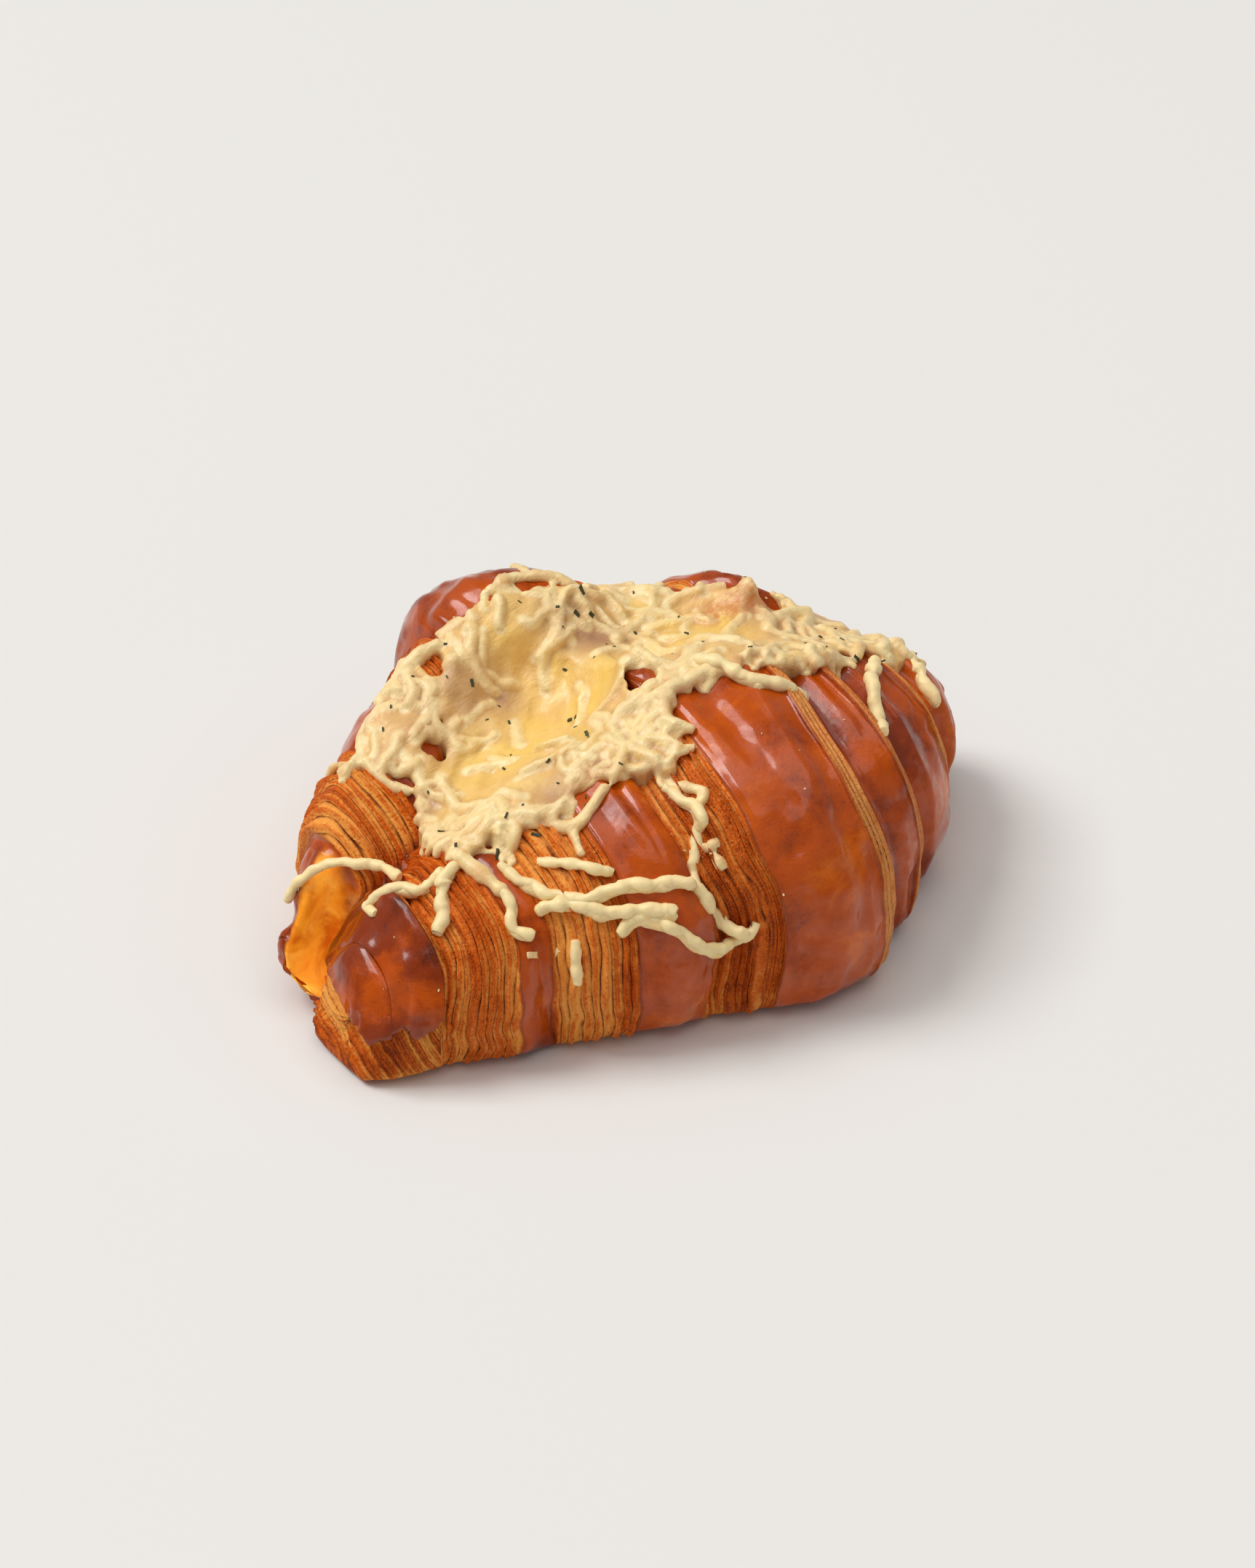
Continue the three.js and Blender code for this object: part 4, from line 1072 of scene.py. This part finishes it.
def shader_group(name, takes, gives):
    """An empty shader group with named sockets, ready to be filled."""
    tree = bpy.data.node_groups.new(name, "ShaderNodeTree")
    for key, kind, value in takes:
        socket = tree.interface.new_socket(key, in_out="INPUT", socket_type=KINDS[kind])
        if value is not None:
            socket.default_value = value
    for key, kind in gives:
        tree.interface.new_socket(key, in_out="OUTPUT", socket_type=KINDS[kind])
    start, end = tree.nodes.new("NodeGroupInput"), tree.nodes.new("NodeGroupOutput")
    return Graph(tree), start.outputs, end.inputs


def toasting_group():
    """Egg-washed crust from orange through mahogany to burnt, with mottling and darker freckles."""
    g, take, give = shader_group(
        "crust_toasting", [("Place", "vector", None), ("Toast", "float", 0.5), ("Mottle", "float", 0.5),
                           ("Pale", "colour", colour(220, 106, 6)), ("Baked", "colour", colour(186, 76, 0)),
                           ("Dark", "colour", colour(136, 48, 4)), ("Burnt", "colour", colour(46, 14, 4))],
        [("Colour", "colour")])
    clouds = g.noise(take["Place"], 70.0, 4.0, 0.6, 0.4)
    spots = g.noise(take["Place"], 330.0, 3.0, 0.6)
    shift = g.swing(clouds, 0.55, g.times(take["Mottle"], 3.2))
    freckle = g.swing(spots, 0.5, g.times(take["Mottle"], 0.6))
    specks = g.ramp(g.noise(take["Place"], 1500.0, 3.0, 0.7), 0.52, 0.75, 0.0, 0.16)
    amount = g.add(take["Toast"], shift, freckle, specks)
    first = g.blend(g.ramp(amount, 0.0, 0.45), take["Pale"], take["Baked"])
    second = g.blend(g.ramp(amount, 0.45, 0.9), first, take["Dark"])
    g.put(give["Colour"], g.blend(g.ramp(amount, 1.0, 1.5), second, take["Burnt"]))
    return g.tree


def leaf_group():
    """Cut layers: golden leaves streaked along their length, brown at the lips, darkened with painted shade in
    the creases, and pale flecks that are partly painted highlight.
    """
    g, take, give = shader_group(
        "dough_leaves", [("Wrap", "vector", None), ("Place", "vector", None), ("Leaf", "float", 0.0),
                         ("Pale", "float", 0.0), ("Toast", "float", 0.5),
                         ("Gold", "colour", colour(246, 164, 72)),
                         ("Amber", "colour", colour(214, 98, 10)), ("Brown", "colour", colour(146, 50, 0)),
                         ("CreaseShade", "colour", colour(84, 22, 0))],
        [("Colour", "colour"), ("Height", "float")])
    streak = g.noise(g.stretch(take["Wrap"], (300, 26, 1)), 1.0, 4.0, 0.6, 0.2)
    patch = g.noise(take["Place"], 260.0, 4.0, 0.65)
    honeycomb = g.ramp(g.cells(take["Place"], 1150.0), 0.0, 0.6)
    part = g.maths("FRACT", take["Leaf"])
    whole = g.maths("FLOOR", take["Leaf"])
    luck = g.make("ShaderNodeTexWhiteNoise", {"W": whole}, noise_dimensions="1D")["Value"]
    warm = g.add(g.swing(streak, 0.5, 0.8), 0.56, g.swing(luck, 0.5, 0.85), g.swing(patch, 0.5, 1.5),
                 g.swing(take["Toast"], 0.45, 0.8))
    warm = g.maths("SUBTRACT", warm, g.times(take["Pale"], 0.55))
    warm = g.maths("SUBTRACT", warm, g.times(honeycomb, 0.22))
    fold = g.times(g.ramp(part, 0.05, 0.3), g.ramp(part, 0.45, 0.62, 1.0, 0.0))
    warm = g.add(warm, g.times(fold, 0.4))
    body = g.blend(g.ramp(warm, 0.1, 0.75), take["Gold"], take["Amber"])
    body = g.blend(g.ramp(warm, 0.7, 1.5), body, take["Brown"])
    # Where the brown lips and the painted shade of the creases show along the leaves.
    lip_tone_and_crease_shade = g.ramp(g.noise(g.stretch(take["Wrap"], (90, 14, 1)), 1.0, 4.0), 0.38, 0.66, 0.05, 1.0)
    lip = g.times(g.ramp(part, 0.72, 0.93), lip_tone_and_crease_shade)
    body = g.blend(g.times(lip, 0.7), body, take["Brown"])
    # Pale flecks on the leaves: partly paler dough, partly painted highlight.
    highlight_fleck_noise = g.noise(g.stretch(take["Wrap"], (900, 260, 1)), 1.0, 3.0, 0.6)
    pale_fleck_and_highlight = g.times(g.ramp(highlight_fleck_noise, 0.55, 0.68, 0.0, 0.75), g.ramp(take["Toast"], 0.4, 0.9, 1.0, 0.2))
    body = g.blend(pale_fleck_and_highlight, body, colour(255, 206, 136))
    bread = g.blend(patch, colour(240, 170, 104), colour(184, 96, 36))
    body = g.blend(g.ramp(take["Pale"], 0.45, 0.65, 0.0, 0.62), body, bread)
    # Painted shade: the creases between leaves are darkened in colour, as well as lowered in the bump.
    crease = g.maths("MAXIMUM", g.ramp(part, 0.93, 0.98), g.ramp(part, 0.0, 0.05, 1.0, 0.0))
    g.put(give["Colour"], g.blend(g.times(crease, lip_tone_and_crease_shade), body, take["CreaseShade"]))
    deep = g.add(streak, g.times(patch, 0.8), g.times(honeycomb, 0.45))
    g.put(give["Height"], g.maths("SUBTRACT", deep, g.times(crease, 0.8)))
    return g.tree


def pores_group():
    """Fine pits and orange-peel of a baked, egg-washed skin."""
    g, take, give = shader_group("crust_pores", [("Place", "vector", None), ("Size", "float", 1.0)],
                                 [("Height", "float")])
    tight = g.times(take["Size"], 1500.0)
    wide = g.times(take["Size"], 420.0)
    pits = g.ramp(g.cells(take["Place"], tight), 0.0, 0.32)
    peel = g.noise(take["Place"], wide, 4.0, 0.62, 0.4)
    g.put(give["Height"], g.add(g.times(pits, 0.35), peel))
    return g.tree


def melt_group():
    """Mottled melted cheese between pale, yellow, greasy grey with painted shade in its hollows, and browned."""
    g, take, give = shader_group(
        "melted_mottle", [("Place", "vector", None), ("Yellow", "float", 0.0), ("Grey", "float", 0.0),
                          ("Strand", "float", 0.0), ("Baked", "float", 0.0),
                          ("Cream", "colour", colour(246, 208, 130)), ("Pale", "colour", colour(253, 234, 178)),
                          ("Butter", "colour", colour(248, 208, 104)), ("FatAndShade", "colour", colour(176, 130, 94)),
                          ("Browned", "colour", colour(205, 120, 40))],
        [("Colour", "colour"), ("Height", "float")])
    cloud = g.noise(take["Place"], 120.0, 4.0, 0.6, 0.5)
    grain = g.noise(take["Place"], 620.0, 3.0, 0.6)
    base = g.blend(g.ramp(cloud, 0.3, 0.7), take["Cream"], colour(232, 184, 114))
    base = g.blend(g.times(take["Yellow"], g.ramp(cloud, 0.2, 0.65, 0.6, 1.0)), base, take["Butter"])
    # Tan of grey fat, laid also as painted shade where the Grey mask marks hollows.
    base = g.blend(take["Grey"], base, take["FatAndShade"])
    base = g.blend(g.times(take["Strand"], 0.75), base, take["Pale"])
    brown = g.times(take["Baked"], g.ramp(grain, 0.3, 0.6))
    g.put(give["Colour"], g.blend(brown, base, take["Browned"]))
    wrinkles = g.noise(g.stretch(take["Place"], (260, 900, 500)), 1.0, 4.0, 0.6, 0.8)
    fine = g.add(g.times(grain, 0.6), wrinkles)
    g.put(give["Height"], g.add(cloud, fine))
    return g.tree


TOASTING, LEAVES, PORES, MELT = toasting_group(), leaf_group(), pores_group(), melt_group()


def material(name, **constants):
    """A material with its steady values set, the helper for its tree and its main shader."""
    made = bpy.data.materials.new(name)
    made.use_nodes = True
    shader = made.node_tree.nodes["Principled BSDF"]
    for key, value in constants.items():
        shader.inputs[key.replace("_", " ")].default_value = value
    return made, Graph(made.node_tree), shader


def bumps(g, height, depth, strength=1.0, under=None):
    """Fine relief, depth millimetres deep, laid over the relief under it."""
    puts = {"Strength": strength, "Distance": depth * MM, "Height": height}
    if under is not None:
        puts["Normal"] = under
    return g.make("ShaderNodeBump", puts)["Normal"]


def dough_material():
    """Glossy crust where the dough is whole, cut leaves where its layers show, and in the hollow end a
    brightened crumb colour and emission, painted light shining through the thin wall.
    """
    made, g, shader = material("baked_dough", Coat_Roughness=0.13, Coat_IOR=1.45, Subsurface_Weight=0.06,
                               Subsurface_Scale=0.002, Specular_IOR_Level=0.1, Emission_Strength=0.62,
                           Subsurface_Radius=(1.0, 0.4, 0.15))
    place, wrap = g.place(), g.wrap()
    layers, inside = g.attribute("layers"), g.attribute("inside")
    crust = g.use(TOASTING, Place=place, Toast=g.attribute("toast"))
    leaves = g.use(LEAVES, Wrap=wrap, Place=place, Leaf=g.attribute("leaf"), Pale=g.attribute("pale"),
                   Toast=g.attribute("toast"))
    pores = g.use(PORES, Place=place)
    shell = g.blend(layers, crust["Colour"], leaves["Colour"])
    # Inside the hollow end the crumb colour is brightened in lit patches: painted light shining through the thin
    # wall.
    lit = g.ramp(g.noise(place, 130.0, 4.0, 0.6, 0.6), 0.38, 0.62)
    hollow = g.blend(lit, colour(252, 194, 84), colour(222, 128, 26))
    g.put(shader.inputs["Base Color"], g.blend(inside, shell, hollow))
    # Painted light: the hollow end gives off light through its emission colour, though it is no lamp.
    thin = g.ramp(g.noise(place, 75.0, 4.0, 0.6, 0.6), 0.4, 0.62)
    glow = g.blend(thin, colour(214, 140, 30), colour(150, 62, 0))
    g.put(shader.inputs["Emission Color"], g.blend(inside, colour(0, 0, 0), glow))
    bare = g.maths("MAXIMUM", layers, g.times(inside, 0.6))
    sheen = g.ramp(g.noise(place, 85.0, 4.0, 0.6, 0.5), 0.38, 0.6, 0.3, 0.95)
    g.put(shader.inputs["Coat Weight"], g.times(sheen, g.ramp(bare, 0.0, 1.0, 1.0, 0.1)))
    g.put(shader.inputs["Roughness"], g.ramp(bare, 0.0, 1.0, 0.34, 0.6))
    first = bumps(g, pores["Height"], 0.35, 0.7)
    g.put(shader.inputs["Normal"], bumps(g, g.times(leaves["Height"], layers), 0.5, 0.8, first))
    return made


def cheese_material():
    """Melted cheese, glossier where it is soft and yellow."""
    made, g, shader = material("melted_cheese", Roughness=0.4, Subsurface_Weight=0.2, Subsurface_Scale=0.0014,
                               Coat_Roughness=0.25, Specular_IOR_Level=0.5,
                           Subsurface_Radius=(1.0, 0.7, 0.35))
    place = g.place()
    melt = g.use(MELT, Place=place, Yellow=g.attribute("yellow"), Grey=g.attribute("grey"),
                 Strand=g.attribute("strand"), Baked=g.attribute("baked"))
    g.put(shader.inputs["Base Color"], melt["Colour"])
    g.put(shader.inputs["Coat Weight"], g.ramp(g.attribute("yellow"), 0.0, 0.8, 0.12, 0.35))
    g.put(shader.inputs["Normal"], bumps(g, melt["Height"], 0.5, 0.6))
    return made


def strand_material():
    """Grated cheese, browned in places."""
    made, g, shader = material("grated_cheese", Roughness=0.42, Subsurface_Weight=0.22, Subsurface_Scale=0.0014,
                               Specular_IOR_Level=0.45,
                           Subsurface_Radius=(1.0, 0.75, 0.45))
    place = g.place()
    browned = g.ramp(g.noise(place, 55.0, 3.0, 0.6), 0.62, 0.78, 0.0, 0.6)
    melt = g.use(MELT, Place=place, Strand=1.0, Baked=browned)
    g.put(shader.inputs["Base Color"], melt["Colour"])
    g.put(shader.inputs["Normal"], bumps(g, melt["Height"], 0.25, 0.5))
    return made


def ham_material():
    """Pink ham with paler veins."""
    made, g, shader = material("ham", Roughness=0.35, Subsurface_Weight=0.25, Subsurface_Scale=0.003,
                               Coat_Weight=0.3, Coat_Roughness=0.2,
                           Subsurface_Radius=(1.0, 0.35, 0.25))
    veins = g.noise(g.place(), 210.0, 4.0, 0.65, 0.8)
    shade = g.blend(g.ramp(veins, 0.35, 0.7), colour(206, 112, 92), colour(236, 176, 150))
    g.put(shader.inputs["Base Color"], shade)
    g.put(shader.inputs["Normal"], bumps(g, veins, 0.3, 0.6))
    return made


def herb_material():
    """Dull grey-green of dried herbs."""
    made, g, shader = material("dried_herbs", Roughness=0.75)
    tint = g.noise(g.place(), 260.0, 2.0)
    shade = g.blend(g.ramp(tint, 0.3, 0.7), colour(34, 38, 20), colour(86, 84, 40))
    g.put(shader.inputs["Base Color"], shade)
    g.put(shader.inputs["Normal"], bumps(g, g.noise(g.place(), 2400.0, 2.0), 0.1, 0.6))
    return made


def crumb_material():
    """Pale dry crumb."""
    made, g, shader = material("pale_crumbs", Roughness=0.6, Subsurface_Weight=0.2, Subsurface_Scale=0.001)
    tint = g.noise(g.place(), 420.0, 2.0)
    shade = g.blend(g.ramp(tint, 0.35, 0.65), colour(226, 176, 110), colour(240, 214, 160))
    g.put(shader.inputs["Base Color"], shade)
    g.put(shader.inputs["Normal"], bumps(g, g.noise(g.place(), 1800.0, 2.0), 0.1, 0.6))
    return made


DOUGH, CHEESE, GRATED, HAM, HERBS, CRUMBS = (dough_material(), cheese_material(), strand_material(),
                                             ham_material(), herb_material(), crumb_material())


def paint(thing, with_material):
    """Makes one material the only one on a piece."""
    thing.data.materials.clear()
    thing.data.materials.append(with_material)


# ---------------------------------------------------------------- strands, herbs and crumbs
grated = []
for name, (radius, path) in laid.items():
    piece = strand_mesh(name.replace("strand_", "grated_"), [(radius * 0.8, path, 0.28)])
    grow(piece, strand_tree, Sides=14, Wave=0.001, Seed=float(len(grated)), Material=GRATED)
    grated.append((piece, name))


def scatter_tree():
    """Puts a small ragged flake on every point, turned and sized by the point's own values."""
    tree, take, give = geometry_tree("scattered_flakes", [
        ("Spots", "Geometry", None), ("Ragged", "Float", 0.0005), ("Seed", "Float", 1.0),
        ("Material", "Material", None)], "Flakes")
    dots = node(tree, "GeometryNodeMeshToPoints")
    leaf = node(tree, "GeometryNodeMeshCube")
    for key, value in (("Size", (1, 1, 1)), ("Vertices X", 4), ("Vertices Y", 3)):
        leaf.inputs[key].default_value = value
    spin = node(tree, "FunctionNodeEulerToRotation")
    place = node(tree, "GeometryNodeInstanceOnPoints")
    real = node(tree, "GeometryNodeRealizeInstances")
    finish = node(tree, "GeometryNodeSetMaterial")
    wire(tree, (take["Spots"], dots.inputs["Mesh"]), (dots.outputs["Points"], place.inputs["Points"]),
         (leaf.outputs["Mesh"], place.inputs["Instance"]),
         (named(tree, "turn", "FLOAT_VECTOR"), spin.inputs["Euler"]),
         (spin.outputs["Rotation"], place.inputs["Rotation"]),
         (named(tree, "size", "FLOAT_VECTOR"), place.inputs["Scale"]),
         (place.outputs["Instances"], real.inputs["Geometry"]))
    ragged = roughen(tree, real.outputs["Geometry"], take["Ragged"], take["Seed"], 900.0)
    wire(tree, (ragged, finish.inputs["Geometry"]), (take["Material"], finish.inputs["Material"]),
         (finish.outputs["Geometry"], give))
    return tree


FLAKES = scatter_tree()


def surface_tree(things):
    """Search tree over finished pieces, in millimetres of the working frame."""
    points, faces = [], []
    for thing in things:
        base = len(points)
        points += [tuple(p) for p in points_of(thing)]
        faces += [tuple(base + i for i in f.vertices) for f in thing.data.polygons]
    return BVHTree.FromPolygons(points, faces)


OUTSIDE = surface_tree([cheese, front_roll, rear_roll] + [piece for piece, _ in grated])


def scatter(name, spots, material_used, seed, ragged=0.0006):
    """spots: (x, y, length, width, thickness) in millimetres, dropped onto whatever lies under them."""
    luck = np.random.default_rng(seed)
    points, turns, sizes = [], [], []
    for x, y, length, width, thick in spots:
        hit, normal, _, _ = OUTSIDE.ray_cast(over(x, y), DOWN)
        if hit is None or hit.z < 6:
            continue
        lean = (normal + Vector(luck.normal(0, 0.16, 3))).normalized()
        turn = lean.to_track_quat("Z", "Y").to_matrix() @ Vector((1, 0, 0)).to_track_quat("X", "Z").to_matrix()
        spin = Vector((0, 0, 1)).to_track_quat("Z", "Y").to_matrix()
        spin.rotate(Euler((0, 0, luck.uniform(0, 6.28))))
        points.append(tuple((np.array(hit + normal * (0.3 * thick)) + SHIFT) * MM))
        turns.append(tuple((turn @ spin).to_euler()))
        sizes.append((length * MM, width * MM, thick * MM))
    mesh = bpy.data.meshes.new(name)
    mesh.from_pydata(points, [], [])
    for key, rows in (("turn", turns), ("size", sizes)):
        layer = mesh.attributes.new(key, "FLOAT_VECTOR", "POINT")
        layer.data.foreach_set("vector", np.array(rows, np.float32).ravel())
    piece = new_object(name, mesh)
    return grow(piece, FLAKES, Ragged=ragged, Seed=float(seed), Material=material_used)


# x, y, length, width of the larger flecks. x and y are as a measuring helper printed them, not chosen
# by hand, and so are the places of the first two crumbs in crumb_spots, but for half a millimetre.
HERB_SPOTS = [
    (17.8, 32.9, 2.8, 1.2), (14, 30.1, 1.9, 1.5), (16.8, 28.5, 1.6, 1.2), (5.4, 23.7, 1.2, 0.6),
    (-1.3, 13.8, 1.5, 1.3), (-0.6, 12.9, 1.3, 1), (-13.6, 31.4, 2.1, 0.9), (-37.9, -7.4, 3.2, 1.6),
    (-30.2, -10.5, 2.5, 0.9), (10.5, 32.2, 1, 0.7), (-41.3, 6.8, 1.8, 0.8), (-43.3, -0.8, 1.2, 0.7),
    (-33.1, -4.6, 1.6, 0.6), (-10.9, 22.4, 1.4, 0.6), (-17.6, 1, 1.4, 0.7), (-7.6, 0.5, 2.6, 0.9),
    (23.6, 22, 1.3, 0.7), (31.7, 14.7, 1.2, 0.6), (50.5, 0.6, 1.8, 1.1), (54.7, -14, 2, 0.9),
    (-20.9, 11.5, 1.1, 0.5), (-19.7, -14, 1.5, 1)]


def herb_spots():
    """The larger flecks in their places, and smaller ones strewn over the cheese."""
    luck = np.random.default_rng(41)
    spots = [(x, y, 0.8 * length, 0.75 * width, 0.25) for x, y, length, width in HERB_SPOTS]
    while len(spots) < 66:
        x, y = luck.uniform(-46, 76), luck.uniform(-24, 50)
        if rim_distance(x, y) > -3:
            size = luck.uniform(0.4, 1.1)
            spots.append((x, y, size, size * luck.uniform(0.3, 0.6), 0.2))
    return spots


def crumb_spots():
    """Two larger crumbs, and small ones strewn over the bare crust."""
    luck = np.random.default_rng(43)
    spots = [(-43.6, -25.5, 2.2, 1.3, 0.45), (-38.5, -27, 2.4, 1, 0.4)]
    while len(spots) < 60:
        x, y = luck.uniform(-70, 76), luck.uniform(-50, 50)
        if rim_distance(x, y) < 2:
            size = luck.uniform(0.25, 0.6)
            spots.append((x, y, size, size * luck.uniform(0.4, 0.8), size * 0.35))
    return spots


herbs = scatter("dried_herbs", herb_spots(), HERBS, 51)
crumbs = scatter("pale_crumbs", crumb_spots(), CRUMBS, 53, 0.0009)

for piece, used, nodes, slot_name in (
        (front_roll, DOUGH, ["pastry"], "baked_dough"), (rear_roll, DOUGH, ["pastry"], "baked_dough"),
        (ham, HAM, ["ham_slice"], "ham"), (cheese, CHEESE, ["melted_cheese"], "melted_cheese")):
    paint(piece, used)
    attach(piece, "root")
    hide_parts(*nodes)
for piece, name in grated:
    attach(piece, "root")
    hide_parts(name)
for piece in (herbs, crumbs):
    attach(piece, "root")

# ---------------------------------------------------------------- table top, light and camera
floor_mesh = bpy.data.meshes.new("table_top")
floor_mesh.from_pydata([(-6, -6, 0), (6, -6, 0), (6, 6, 0), (-6, 6, 0)], [], [(0, 1, 2, 3)])
table_top = new_object("table_top", floor_mesh)
plain, _, _ = material("pale_table", Base_Color=colour(231, 231, 226), Roughness=0.9, Specular_IOR_Level=0.1)
paint(table_top, plain)

TURN, PITCH = math.radians(-40), math.radians(38)
DISTANCE, AIM_HEIGHT = 830, 24  # of the camera from the spot it looks at, and of that spot over the table
ASIDE, RAISED = 2.23, 8.01  # how far the camera is moved to its right and up
TO_CAMERA = Vector((math.sin(TURN) * math.cos(PITCH), -math.cos(TURN) * math.cos(PITCH), math.sin(PITCH)))
RIGHT = Vector((0, 0, 1)).cross(TO_CAMERA).normalized()
UP = TO_CAMERA.cross(RIGHT)
lens = bpy.data.cameras.new("camera")
lens.lens = 90
lens.sensor_fit = "VERTICAL"
lens.sensor_height = 36
lens.clip_start = 0.01
camera = new_object("camera", lens)
aim = Vector(SHIFT) + Vector((0, 0, AIM_HEIGHT))
camera.location = (aim + TO_CAMERA * DISTANCE + RIGHT * ASIDE + UP * RAISED) * MM
camera.rotation_mode = "QUATERNION"
camera.rotation_quaternion = TO_CAMERA.to_track_quat("Z", "Y")
bpy.context.scene.camera = camera


def soft_light(name, across, along, up, power, size):
    """Square soft light; across and along are metres to the right of and away from the viewer."""
    data = bpy.data.lights.new(name, "AREA")
    data.energy = power
    data.size = size
    away = Vector((-TO_CAMERA.x, -TO_CAMERA.y, 0)).normalized()
    lamp = new_object(name, data)
    lamp.location = RIGHT * across + away * along + Vector((0, 0, up))
    lamp.rotation_mode = "QUATERNION"
    lamp.rotation_quaternion = lamp.location.to_track_quat("Z", "Y")
    return lamp


soft_light("window", -4.0, 0.6, 5.8, 305, 3.2)
soft_light("ceiling", 0.2, -0.2, 2.6, 22, 2.6)
world = bpy.data.worlds.new("studio")
world.use_nodes = True
backdrop = world.node_tree
soft = backdrop.nodes["Background"]
soft.inputs["Color"].default_value = colour(250, 241, 242)
soft.inputs["Strength"].default_value = 0.34
wall = backdrop.nodes.new("ShaderNodeBackground")
wall.inputs["Color"].default_value = colour(236, 233, 230)
both = backdrop.nodes.new("ShaderNodeMixShader")
backdrop.links.new(backdrop.nodes.new("ShaderNodeLightPath").outputs["Is Camera Ray"], both.inputs["Fac"])
backdrop.links.new(soft.outputs["Background"], both.inputs[1])
backdrop.links.new(wall.outputs["Background"], both.inputs[2])
backdrop.links.new(both.outputs["Shader"], backdrop.nodes["World Output"].inputs["Surface"])
scene = bpy.context.scene
scene.world = world
scene.view_settings.view_transform = "Standard"
